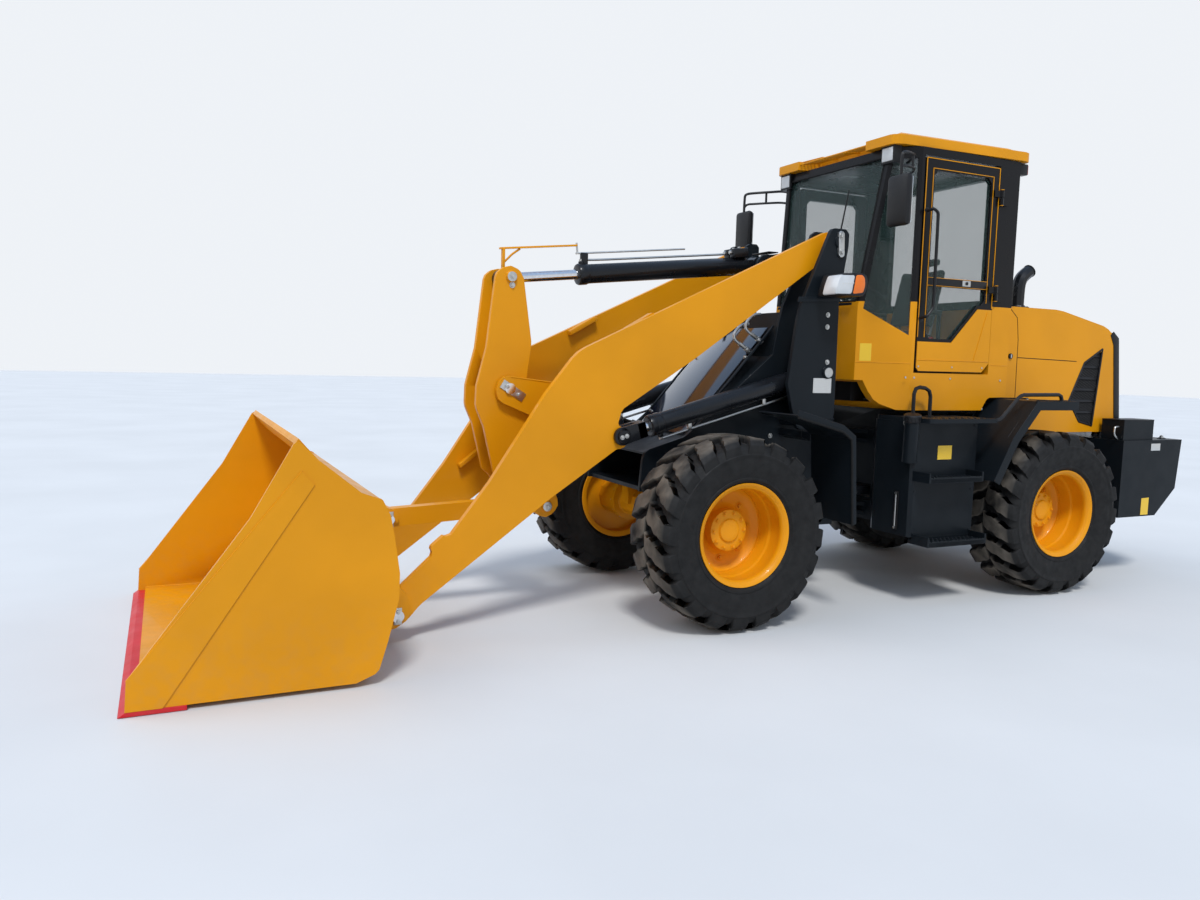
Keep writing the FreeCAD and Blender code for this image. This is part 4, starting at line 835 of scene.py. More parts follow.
class LOADER_OT_cylinders(bpy.types.Operator):
    """Lift and tilt cylinders with glands, ports, pipes and bright rods"""

    bl_idname = "loader.cylinders"
    bl_label = "Cylinders"

    def execute(self, context):
        span = (LIFT_EYE - LIFT_FOOT).length * 1000
        way = (LIFT_EYE - LIFT_FOOT).normalized()
        under = LEFT.cross(way).normalized()
        if under.z > 0:
            under.negate()
        for name, side in SIDES:
            barrel, rod = "lift_barrel_" + name, "lift_rod_" + name
            self.lift_barrel(Kit(barrel + "_look", barrel, side), span, way, under)
            self.lift_rod(Kit(rod + "_look", rod, side), span, way, under)
        self.tilt()
        return {"FINISHED"}

    def lift_barrel(self, kit, span, way, under):
        base, eye = LIFT_FOOT, LIFT_EYE
        end = span - 205
        tube = [(30.2, 108), (30.2, end + 22), (52, end + 22), (60, end + 16), (62, end + 8), (62, end - 8),
                (59, end - 12), (59, end - 18), (62, end - 22), (62, end - 52), (59, end - 58),
                (57, end - 60), (57, 92), (52, 80), (40, 74), (28, 72), (28, 108)]
        kit.lathe("cylinder_black", tube, base, way, 48, closed=True)
        kit.ring("cylinder_black", 30.3, 55, -45, 45, base, segments=48)
        saddle(kit, base, way, under, 0.038, 0.085, 0.03)
        port, port_low = between(base, eye, end - 42), between(base, eye, 150)
        ports(kit, (port, port_low), under, 0.078, 0.018)
        low = under * 0.088
        kit.pipe("steel", [port + under * 0.08, port + low, port + low - way * 0.03,
                           port_low + low + way * 0.3, port_low + low + way * 0.05,
                           port_low + under * 0.08 + way * 0.02], 0.007)
        clip_half = Vector((0.012, 0.011, 0.018))
        for share in (0.3, 0.68):
            clip = between(base, eye, span * share) + under * 0.072
            kit.box("steel", clip - clip_half, clip + clip_half)
        kit.place(instead_of=[kit.body])

    def lift_rod(self, kit, span, way, under):
        base, eye = LIFT_FOOT, LIFT_EYE
        yoke_start = span - 150
        kit.lathe("chrome", [(0, 130), (29.8, 130), (29.8, yoke_start), (0, yoke_start)], base, way, 40)
        yoke = between(base, eye, yoke_start)
        kit.lathe("cylinder_black", [(0, -2), (38, -2), (44, 8), (44, 20), (0, 20)], yoke, way, 32)
        for low_y, high_y in ((-49, -24), (24, 49)):
            out, start = LEFT * ((high_y - low_y) / 1000), LEFT * (low_y / 1000)
            kit.rod("cylinder_black", eye + start, eye + start + out, 0.05, sides=40, bevel=0.003)
            fork = [yoke + start + under * 0.044, eye + start + under * 0.048,
                    eye + start - under * 0.048, yoke + start - under * 0.044]
            kit.prism("cylinder_black", fork, out, 0.002)
        wide, deep = LEFT * 0.049, under * 0.044
        bridge = [yoke - wide + deep, yoke + wide + deep, yoke + wide - deep, yoke - wide - deep]
        kit.prism("cylinder_black", bridge, way * 0.052, 0.003)
        kit.rod("cylinder_black", eye + wide, eye + LEFT * 0.064, 0.034, sides=32, bevel=0.003)
        kit.bolts([eye + LEFT * 0.064 + way * 0.014, eye + LEFT * 0.064 - way * 0.014], LEFT, 0.0085)
        kit.place(instead_of=[kit.body])

    def tilt(self):
        base, eye = TILT_FOOT, TILT_EYE
        span = (eye - base).length * 1000
        way = (eye - base).normalized()
        over = way.cross(LEFT)
        if over.z < 0:
            over.negate()
        kit = Kit("tilt_barrel_look", "tilt_barrel")
        tube = [(29.2, 1140), (29.2, 1250), (50, 1250), (58, 1246), (62, 1238), (62, 1194), (58, 1188),
                (58, 1184), (56, 1182), (56, 96), (50, 84), (36, 80), (36, 104), (44, 106), (44, 1140)]
        kit.lathe("cylinder_black", tube, base, way, 48, closed=True)
        kit.ring("cylinder_black", 25.3, 50, -40, 40, base)
        saddle(kit, base, way, over, 0.034, 0.09, 0.028)
        ports(kit, (between(base, eye, 150), between(base, eye, 1215)), over, 0.074, 0.017)
        far, near = between(base, eye, 1215) + over * 0.08, between(base, eye, 150) + over * 0.08
        aside = LEFT * -0.03
        kit.pipe("steel", [far, far + over * 0.006, far + aside - way * 0.06, far + aside - way * 0.4,
                           near + aside + way * 0.2, near + aside + way * 0.03], 0.007)
        block = between(base, eye, 92) + over * 0.05
        for low_y, high_y in ((-0.06, -0.004), (0.004, 0.06)):
            low, high = block + LEFT * low_y, block + LEFT * high_y
            hump = [low, high, high + over * 0.058, low + over * 0.058]
            kit.prism("cylinder_black", hump, way * 0.105, 0.007)
        for y in (-0.032, 0.032):
            front = block + LEFT * y + over * 0.036 + way * 0.105
            kit.rod("steel", front, front + way * 0.018, 0.012, sides=6, bevel=0.001)
            top = block + LEFT * y + over * 0.058 + way * 0.05
            kit.rod("steel", top, top + over * 0.01, 0.009, sides=6, bevel=0.001)
        guide = between(base, eye, 1205)
        low, high = guide + Vector((-0.022, -0.012, 0.045)), guide + Vector((0.022, 0.012, 0.122))
        kit.box("cylinder_black", low, high, 0.003)
        kit.place(instead_of=["tilt_barrel"])
        kit = Kit("tilt_rod_look", "tilt_rod")
        kit.lathe("chrome", [(0, 492), (28.8, 492), (28.8, span - 44), (0, span - 44)], base, way, 40)
        kit.ring("cylinder_black", 25.3, 50, -64, 64, eye)
        collar = [(0, span - 70), (34, span - 70), (40, span - 60), (40, span - 40), (0, span - 40)]
        kit.lathe("cylinder_black", collar, base, way, 32)
        kit.place(instead_of=["tilt_rod"])
        kit = Kit("level_rod", "tilt_rod")
        kit.box("body_yellow", eye + Vector((0.0, -0.016, 0.045)), eye + Vector((0.014, 0.016, 0.168)))
        start, end = eye + over * 0.16 + way * 0.01, between(base, eye, 1235) + over * 0.16
        wide = LEFT * 0.013
        kit.prism("body_yellow", [start - wide, end - wide, end + wide, start + wide], over * 0.01, 0.002)
        bent = [eye + UP * 0.09, eye - way * 0.06 + over * 0.13, eye - way * 0.11 + over * 0.158]
        kit.pipe("body_yellow", bent, 0.006, 2)
        kit.rod("steel", end - over * 0.045, end + over * 0.02, 0.006, sides=14)
        kit.rod("steel", end - over * 0.04 + way * 0.01, end - over * 0.04 - way * 0.72, 0.0055, sides=14)
        kit.place()


# Arms, linkage and bucket
BUCKET_INSIDE = [(2900, 37), (2066, 37), (1972, 74), (1933, 196), (1889, 380), (1886, 491), (1910, 660),
                 (1926, 744), (1955, 803), (2040, 833), (2219, 978)]
BUCKET_TACKS = ((2060, 38), (1985, 62), (1934, 195), (1889, 378), (1886, 491), (1910, 662))
EDGE_BOLTS = 7
EDGE_BOLT_Y = 960


class LOADER_OT_linkage(bpy.types.Operator):
    """Pin caps, keeper plates, gussets and weld beads on the arms, bellcrank and bucket"""

    bl_idname = "loader.linkage"
    bl_label = "Linkage"

    def execute(self, context):
        kit = Kit("boom_fittings", "lift_arms")
        kit.keeper((1049, 158, 1259), Vector((-0.85, 0, -0.53)).normalized(), 0.15, 0.05)
        kit.cap("body_yellow", (1754, 455, 146), 0.052, 0.003)
        kit.rods("steel", [(600, 0, 1289)], (0, 0, 11), 0.004, sides=10)
        for rows in (((478, 1590), (300, 1690), (296, 1706), (330, 1708), (486, 1618)),
                     ((1184, 772), (1028, 890), (1032, 902), (1052, 902), (1190, 796))):
            kit.plate("body_yellow", 414, -50, rows, 0.003)
        for start, end in ((at(665, 157, 1290), at(1060, 157, 1335)),
                           (at(665, 157, 1118), at(920, 157, 1118))):
            kit.pipe("body_yellow", [start, (start + end) / 2, end], 0.004, 2)
        for y in (412, 160):
            kit.ring("body_yellow", 88, 97, -4, 3, (660, y, 1200), segments=48)
        kit.place(both=True)
        kit = Kit("crank_fittings", "bellcrank")
        for x, z in ((1055, 1881), (820, 600)):
            kit.cap("steel", (x, 134, z), 0.027, 0.006)
            kit.bolt("steel", (x - 4, 140, z), LEFT, 0.011)
        kit.bolt("steel", (1049, 120, 1836), LEFT, 0.011)
        for along in (-84, 84):
            kit.ring("body_yellow", 60, 67, along - 3, along + 3, (1066, 0, 1270))
        kit.place(both=True)
        kit = Kit("bucket_fittings", "bucket")
        for place in ((1754, 488, 146), (1709, 93, 563)):
            kit.keeper(place, UP, 0.085, 0.04)
        for number in range(EDGE_BOLTS):
            y = -EDGE_BOLT_Y + number * EDGE_BOLT_Y / 3
            kit.rods("edge_red", [(2812, y, 19)], (0, 0, 5), 0.017, bevel=0.001)
            kit.rods("steel", [(2812, y, 24)], (0, 0, 1.5), 0.009, sides=6)
        for side in (1, -1):
            y = side * 1022
            kit.pipe("body_yellow", [(2937, y, 143), (2273, y, 951)], 0.003, 2)
            kit.pipe("body_yellow", [(2811, y, 22), (2225, y, 892)], 0.003, 2)
            tacks = [(x, side * 999, z) for x, z in BUCKET_TACKS]
            kit.rods("body_yellow", tacks, (0, side * 2, 0), 0.003, sides=8)
            kit.pipe("body_yellow", [(x, side * 1001, z) for x, z in BUCKET_INSIDE], 0.005, 2)
        kit.rods("body_yellow", [(x, y - 4, z) for x, z in ((1930, 100), (1880, 250)) for y in (-447, 447)],
                 (0, 8, 0), 0.003, sides=8)
        kit.place()
        return {"FINISHED"}


# Front frame
TOWER_KEEPER = ((-826, 2222), (-840, 2234), (-858, 2232), (-868, 2220), (-874, 2094), (-862, 2082),
                (-844, 2082), (-833, 2094))
LAMP_SHELL = ((-676, 1840), (-690, 1900), (-714, 1968), (-862, 1978), (-893, 1968), (-904, 1940),
              (-903, 1900), (-888, 1856), (-860, 1842))
LAMP_CLEAR = ((-665, 1846), (-677, 1900), (-701, 1960), (-808, 1965), (-788, 1850))
LAMP_AMBER = ((-791, 1851), (-811, 1965), (-858, 1968), (-880, 1950), (-884, 1905), (-870, 1862))


class LOADER_OT_front_frame(bpy.types.Operator):
    """Bolts, keeper plates, bands, pipes and lamps of the front frame"""

    bl_idname = "loader.front_frame"
    bl_label = "Front frame"

    def execute(self, context):
        kit = Kit("tower_fittings", "front_frame")
        kit.plate("steel", TOWER_SIDE, 16, TOWER_KEEPER, 0.002)
        kit.bolts([(-847, 556, 2204), (-852, 556, 2110)], LEFT, 0.012)
        kit.bolts([(-784, 540, 1741), (-784, 540, 1670), (-796, 540, 1462)], LEFT, 0.010)
        kit.cap("steel", (-800, 552, 1400), 0.03, 0.006)
        kit.plate("plate", TOWER_SIDE, 1.5, ((-700, 1366), (-834, 1366), (-834, 1278), (-700, 1278)))
        kit.rods("steel", [(x, 541, z) for x, z in ((-706, 1360), (-828, 1360), (-706, 1284), (-828, 1284))],
                 (0, 2, 0), 0.003, sides=10)
        kit.plate("frame_black", 541, 4, ((-562, 1836), (-872, 1858), (-870, 1826), (-556, 1806)), 0.001)
        kit.plate("frame_black", 536, 6, ((-868, 1115), (-600, 1115), (-600, 1127), (-868, 1127)), 0.001)
        kit.bolts([(-630, 700, 1097), (-480, 880, 1126), (-630, 880, 1092)], UP, 0.010)
        kit.pipe("rubber", [(-705, 939, 548), (-672, 939, 1032), (-602, 939, 1080), (-296, 939, 1159)],
                 0.007, 2)
        kit.bolts([(-535, 361, 1010), (-535, 361, 900), (-300, 361, 830), (100, 361, 830)], LEFT, 0.01)
        kit.place(both=True)
        kit = Kit("headlamp_look", "front_frame")
        kit.plate("trim_black", 572, 168, LAMP_SHELL, 0.012)
        kit.plate("lens", 630, 114, LAMP_CLEAR, 0.014)
        kit.plate("amber", 640, 103, LAMP_AMBER, 0.010)
        kit.rods("steel", [(-716 - number * 19, 740, 1908 + number * 2) for number in range(5)], (0, 4.4, 0),
                 0.008, 0.004, 10)
        kit.box("trim_black", (-845, 541, 1902), (-792, 575, 1948), 0.004)
        kit.bolt("steel", (-818, 556, 1948), UP, 0.009)
        kit.place(both=True, instead_of=["headlamps"])
        self.hydraulics()
        return {"FINISHED"}

    def hydraulics(self):
        """Gloss cover over the front hollow, with its rails and pipes."""
        kit = Kit("front_pipes", "front_frame")
        kit.prism("gloss_black", [(-544, -284, 1661), (34, -284, 1021), (34, 284, 1021), (-544, 284, 1661)],
                  Vector((0.003, 0, 0.0027)), 0.001)
        kit.box("cylinder_black", (-735, -90, 2142), (-662, 90, 2148), 0.001)
        for x, y, z in ((-430, 300, 1590), (-370, 270, 1530)):
            kit.rod("steel", (x - 20, y, z + 6), (x + 22, y, z + 30), 0.013, sides=6)
            kit.pipe("steel", [(x + 22, y, z + 30), (x + 60, y, z + 52), (x + 66, y, z + 90),
                               (x + 10, y, z + 150), (x - 40, y, z + 150)], 0.009)
            kit.rod("steel", (x - 22, y, z + 4), (x - 60, y, z - 18), 0.016, sides=18, bevel=0.002)
        for y in (-326, 310):
            kit.plate("frame_black", y, 16, ((-560, 1668), (44, 1000), (50, 1006), (-553, 1676)), 0.001)
        kit.bolts([(x, y, z) for x, z in ((-380, 1478), (-60, 1124)) for y in (-290, 290)],
                  Vector((0.66, 0, 0.75)), 0.009)
        kit.place()


# Cab
DOOR_SEAMS = (((-1406, 1632), (-1401, 2709)), ((-2018, 1832), (-2013, 2709)), ((-2018, 2706), (-1401, 2711)),
              ((-1459, 1632), (-1455, 2652)), ((-1966, 1862), (-1962, 2652)), ((-1966, 2649), (-1455, 2653)))
DOOR_HANDLE = [(-1422, 632, 2392), (-1422, 682, 2400), (-1428, 690, 2396), (-1458, 690, 2380),
               (-1460, 690, 2350), (-1464, 690, 1840), (-1462, 690, 1806), (-1424, 688, 1762),
               (-1416, 680, 1754), (-1416, 632, 1746)]
SKIRT_SCREWS = ((-1330, 1382), (-1400, 1382), (-1700, 1380), (-2140, 1374))
HINGE_LEVELS = (1880, 2480)
MIRROR_BOWS = (
    ([(-1300, 575, 2672), (-1285, 640, 2690), (-1240, 700, 2690), (-1120, 772, 2680), (-1062, 790, 2670),
      (-1056, 792, 2640), (-1056, 792, 2540)], 0.009),
    ([(-1310, 560, 2590), (-1290, 640, 2610), (-1240, 700, 2612), (-1130, 770, 2604), (-1062, 786, 2596),
      (-1056, 790, 2570)], 0.008),
)


class LOADER_OT_cab(bpy.types.Operator):
    """Door frames, seals, latches, mirrors, wiper, lamps and visor of the cab"""

    bl_idname = "loader.cab"
    bl_label = "Cab"

    def execute(self, context):
        for name, side in SIDES:
            self.door(Kit("door_" + name + "_fittings", "door_" + name, side))
        self.corners()
        self.mirror()
        self.front()
        return {"FINISHED"}

    def door(self, kit):
        y = DOOR_SIDE
        for (low_x, low_z), (high_x, high_z) in DOOR_SEAMS:
            kit.box("body_yellow", (low_x, y - 1, low_z), (high_x, y + 3, high_z), 0.0008)
        kit.box("trim_black", (-1962, 600, 1948), (-1459, y + 2, 2000), 0.004)
        for z in (1950, 1998):
            kit.box("body_yellow", (-1962, y, z - 1.5), (-1459, y + 3.5, z + 1.5), 0.0008)
        kit.box("steel", (-1815, y, 1958), (-1745, y + 8, 1994))
        kit.rods("trim_black", [(-1780, y + 7, 1976)], (0, 4, 0), 0.011)
        kit.pipe("trim_black", DOOR_HANDLE, 0.0095)
        kit.rods("trim_black", [(-1420, 632, 2396), (-1420, 632, 1742)], (0, 8, 0), 0.019, sides=20,
                 bevel=0.002)
        for z in HINGE_LEVELS:
            kit.box("body_yellow", (-2010, y, z + 50), (-1972, y + 7, z + 88))
            kit.bolts([(-1990, y + 7, z + 60), (-1990, y + 7, z + 78)], LEFT, 0.004, "body_yellow")
        kit.box("body_yellow", (-2012, y + 5, 1490), (-1404, y + 7.5, 1494), 0.001)
        kit.plate("body_yellow", y + 5, 3, ((-1880, 1500), (-1884, 1500), (-1980, 1806), (-1976, 1806)))
        kit.rods("steel", [(x, y + 5, 1452) for x in (-1420, -1700, -1960)], (0, 2.5, 0), 0.006, sides=16,
                 bevel=0.001)
        kit.place()

    def corners(self):
        """Bolts, hinge pins, seams, blank plates and lamps, the same on both sides."""
        kit = Kit("cab_fittings", "rear_frame")
        kit.box("body_yellow", (-2030, 628, 1834), (-2014, 634, 1846), 0.001)
        kit.rods("steel", [(x, SKIRT_SIDE, z) for x, z in SKIRT_SCREWS], (0, 4, 0), 0.007, sides=16,
                 bevel=0.001)
        for z in HINGE_LEVELS:
            kit.rods("body_yellow", [(-2028, 650, z - 3)], (0, 0, 3), 0.012, sides=20, bevel=0.001)
            kit.rods("body_yellow", [(-2028, 650, z + 94)], (0, 0, 4), 0.012, sides=20, bevel=0.001)
        kit.box("body_yellow", (-2196, SKIRT_SIDE, 1470), (-2040, 632, 1474), 0.001)
        kit.pipe("body_yellow", [(-1112, 421, 1471), (-1370, SKIRT_SIDE, 1468)], 0.003, 2)
        kit.prism("plate_yellow", [(-1130, 436.2, 1478), (-1184, 479.8, 1478), (-1184, 479.8, 1586),
                                   (-1130, 436.2, 1586)], Vector((0.0008, 0.001, 0)))
        kit.box("lens", (-1207, 462, 2684), (-1200, 552, 2764), 0.006)
        kit.box("trim_black", (-1230, 455, 2676), (-1204, 559, 2682))
        kit.box("trim_black", (-2292, 560, 2700), (-2200, 610, 2770), 0.006)
        kit.box("tail_red", (-2300, 566, 2706), (-2290, 604, 2764), 0.003)
        kit.place(both=True)

    def mirror(self):
        kit = Kit("mirror_look", "rear_frame")
        kit.box("trim_black", (-1086, 702, 2252), (-1032, 870, 2544), 0.024)
        kit.box("mirror", (-1090, 716, 2268), (-1084, 856, 2528))
        for route, radius in MIRROR_BOWS:
            kit.pipe("trim_black", route, radius)
        kit.rods("trim_black", [(-1200, 727, 2606)], (0, 0, 84), 0.008, sides=14)
        kit.place(both=True, instead_of=["mirrors"])

    def front(self):
        """Visor bars, wiper and the windscreen's seal."""
        kit = Kit("cab_front", "rear_frame")
        for number in range(6):
            x, z = -1196 - number * 24, 2812 + number * 3
            kit.rod("body_yellow", (x, -345, z), (x, 345, z), 0.005, sides=12)
        for y in (-110, 110):
            kit.rod("body_yellow", (-1196, y, 2806), (-1335, y, 2824), 0.005, sides=12)
        foot = at(-1118, 120, 1872)
        kit.rod("trim_black", foot - AHEAD * 0.02, foot + AHEAD * 0.03, 0.018, sides=20, bevel=0.002)
        elbow = (-1142, 150, 2160)
        kit.pipe("trim_black", [foot + AHEAD * 0.02, foot + Vector((0.022, 0.01, 0.1)), elbow], 0.006)
        kit.pipe("trim_black", [(-1120, 120, 1960), elbow, (-1190, 190, 2560)], 0.005, 2)
        kit.box("rubber", (-1098, -380, 1822), (-1090, 380, 1838), 0.003)
        low_left, high_left = (-1116, 394, 1849), (-1222, 472, 2716)
        low_right, high_right = (-1116, -394, 1849), (-1222, -472, 2716)
        for ends in ((low_left, high_left), (low_right, low_left), (high_left, high_right),
                     (high_right, low_right)):
            kit.pipe("rubber", ends, 0.006, 2)
        kit.place()


# Hood
HOOD_VENT = [(-3268, 1615), (-3085, 1512), (-2950, 1242), (-3070, 1092), (-3210, 1062)]
VENT_SLATS = ((-3262, -3155, 1560), (-3250, -3075, 1480), (-3240, -3035, 1400), (-3232, -2998, 1320),
              (-3225, -2972, 1240), (-3216, -3012, 1160))
# Dark rubber lines on the hood side: the first row is the real gap between hood and cab, the second a painted
# shadow line along the side crease.
HOOD_GAP_AND_CREASE_SHADE = (((-2325, 1850), (-2391, 1795), (-2412, 1650), (-2418, 1272), (-2418, 1024)),
             ((-2418, 1530), (-3002, 1518)))
HOOD_BAND = ((-3368, 1739), (-3429, 1693), (-3506, 1050), (-3506, 1022), (-3450, 1022), (-3446, 1060),
             (-3378, 1640), (-3340, 1712))


def shrunk(rows, amount):
    """Outline rows drawn in towards their middle by this many millimetres."""
    middle = Vector((sum(row[0] for row in rows), sum(row[1] for row in rows))) / len(rows)
    return [tuple(Vector(row) - (Vector(row) - middle).normalized() * amount) for row in rows]


class LOADER_OT_hood(bpy.types.Operator):
    """Vent meshes, rear surround, gap line, painted crease shadow line, latch and exhaust of the hood"""

    bl_idname = "loader.hood"
    bl_label = "Hood"

    def execute(self, context):
        kit = Kit("hood_vents", "hood")
        vent = [at(x, 510, z) for x, z in shrunk(HOOD_VENT, 3)]
        kit.plate("rubber", 508, 2, shrunk(HOOD_VENT, 1))
        kit.grille("trim_black", vent, AHEAD + UP * 0.45, 0.016, 0.0035)
        for start, end in zip(vent, vent[1:] + vent[:1]):
            kit.pipe("trim_black", [start + LEFT * 0.009, end + LEFT * 0.009], 0.007, 2)
        for low_x, high_x, z in VENT_SLATS:
            kit.box("trim_black", (low_x, 509, z - 8), (high_x, 513, z + 14), 0.0015,
                    Matrix.Rotation(math.radians(24), 4, "X"))
        kit.place(both=True, instead_of=["hood_grilles"])
        kit = Kit("hood_lines", "hood")
        # The hood gap line and the painted shadow line of the crease.
        for rows in HOOD_GAP_AND_CREASE_SHADE:
            for (x, z), (next_x, next_z) in zip(rows, rows[1:]):
                kit.pipe("rubber", [(x, 519.3, z), (next_x, 519.3, next_z)], 0.0026, 2)
        kit.rods("trim_black", [(-2345, HOOD_SIDE, 1538)], (0, 10, 0), 0.018, bevel=0.002)
        kit.box("steel", (-2350, 530, 1526), (-2340, 533, 1550), 0.001)
        kit.plate("trim_black", HOOD_SIDE, 4, HOOD_BAND, 0.0015)
        kit.place(both=True)
        self.tail_face()
        self.exhaust()
        return {"FINISHED"}

    def tail_face(self):
        """Surround, wire mesh, bars and dark screen of the rear vent."""
        kit = Kit("hood_tail", "hood")
        half = HOOD_SIDE + 3
        inward, up_over = Vector((-0.007, 0, 0.001)), Vector((-0.004, 0, 0.006))
        for low, high, out in (((-3435.5, 1600), (-3426, 1680), inward),
                               ((-3501, 1050), (-3492.7, 1120), inward),
                               ((-3425, 1680), (-3364, 1725), up_over)):
            kit.prism("trim_black", [(low[0], -half, low[1]), (high[0], -half, high[1]),
                                     (high[0], half, high[1]), (low[0], half, low[1])], out, 0.002)
        for low_y, high_y in ((-half, -400), (400, half)):
            kit.prism("trim_black", [(-3492.7, low_y, 1120), (-3435.5, low_y, 1600), (-3435.5, high_y, 1600),
                                     (-3492.7, high_y, 1120)], inward, 0.002)
        mesh_place = [at(-3430, -400, 1600), at(-3487, -400, 1120),
                      at(-3487, 400, 1120), at(-3430, 400, 1600)]
        kit.grille("trim_black", mesh_place, LEFT, 0.026, 0.004)
        for number in range(7):
            x, z = -3487 + (60 + number * 60) * 57 / 480, 1180 + number * 60
            kit.box("trim_black", (x - 6, -399, z - 3), (x + 10, 399, z + 3), 0.0015)
        kit.box("rubber", (-3404, -398, 1124), (-3400, 398, 1590), 0.001)
        kit.box("rubber", (-3480, -398, 1121), (-3404, 398, 1124), 0.0005)
        kit.place()

    def exhaust(self):
        kit = Kit("exhaust_look", "hood")
        base = at(-2520, 400, 1866)
        flange = [(40, 0), (78, 0), (78, 8), (72, 12), (52, 14), (48, 22), (40, 22)]
        kit.lathe("trim_black", flange, base, UP, 40, closed=True)
        kit.bolts([base + out * 0.065 + UP * 0.010 for out in spokes(6, AHEAD, LEFT)], UP, 0.005)
        tip = base + UP * 0.262 - AHEAD * 0.098
        stack = [base, base + UP * 0.11, base + UP * 0.185, base + UP * 0.225 - AHEAD * 0.035, tip]
        kit.pipe("cylinder_black", stack, 0.044, 4)
        kit.lathe("rubber", [(0, -3), (39, -3), (39, 1), (45.5, 1), (45.5, -6), (43, -8), (0, -8)], tip,
                  Vector((-0.063, 0, 0.037)), 32)
        kit.place(instead_of=["exhaust_pipe"])


# Tail
TAIL_SIDE = 740


class LOADER_OT_tail(bpy.types.Operator):
    """Counterweight plates, battery box handles, tail lamps and tow pin"""

    bl_idname = "loader.tail"
    bl_label = "Tail"

    def execute(self, context):
        kit = Kit("tail_fittings", "rear_frame")
        kit.plate("plate_yellow", TAIL_SIDE, 1.2, ((-3500, 560), (-3580, 562), (-3580, 440), (-3500, 440)))
        kit.pipe("steel", [(-3268, 690, 1070), (-3230, 690, 1072), (-3222, 690, 1050), (-3222, 690, 1010),
                           (-3262, 690, 985)], 0.006)
        kit.box("trim_black", (-3602, 548, 1112), (-3278, 722, 1120), 0.003)
        kit.box("trim_black", (-3606, 600, 1080), (-3598, 660, 1100))
        for z, finish in ((905, "tail_red"), (850, "amber")):
            x = -3900 + 35 * (975 - z) / 355
            kit.box("trim_black", (x - 2, 560, z - 28), (x + 12, 668, z + 28))
            kit.box(finish, (x - 5, 566, z - 22), (x + 4, 662, z + 22), 0.003)
        kit.box("plate", (-3660, TAIL_SIDE - 1, 900), (-3560, TAIL_SIDE + 1.2, 950), 0.0004)
        for x in (-3340, -3820):
            kit.rods("cylinder_black", [(x, 640, 974)], (0, 0, 6), 0.03, sides=32, bevel=0.002)
            kit.bolt("steel", (x, 640, 980), UP, 0.014)
        kit.place(both=True)
        kit = Kit("tow_pin", "rear_frame")
        kit.rods("steel", [(-3825, 0, 790)], (0, 0, 192), 0.0185, sides=32, bevel=0.002)
        loop = ((-16, 980), (-30, 1010), (0, 1036), (30, 1010), (16, 980))
        kit.pipe("steel", [(-3825, y, z) for y, z in loop], 0.005)
        kit.place()
        return {"FINISHED"}


# Tanks, steps and fenders
TANK_SIDE = 800
# Front, rear and top of the two steps
STEP_TREADS = ((-1287, -1703, 789), (-1302, -1756, 404))
FILLER_FOOT, FILLER_MOUTH = at(-1266, 768, 880), at(-1236, 806, 1122)
FILLER_CAP = [(0, 46), (43, 46), (51, 40), (52, 32), (52, 8), (47, 4), (44, 0), (0, 0)]
FILLER_RIBS = 18
GAUGE = at(-1261, 690, 0)


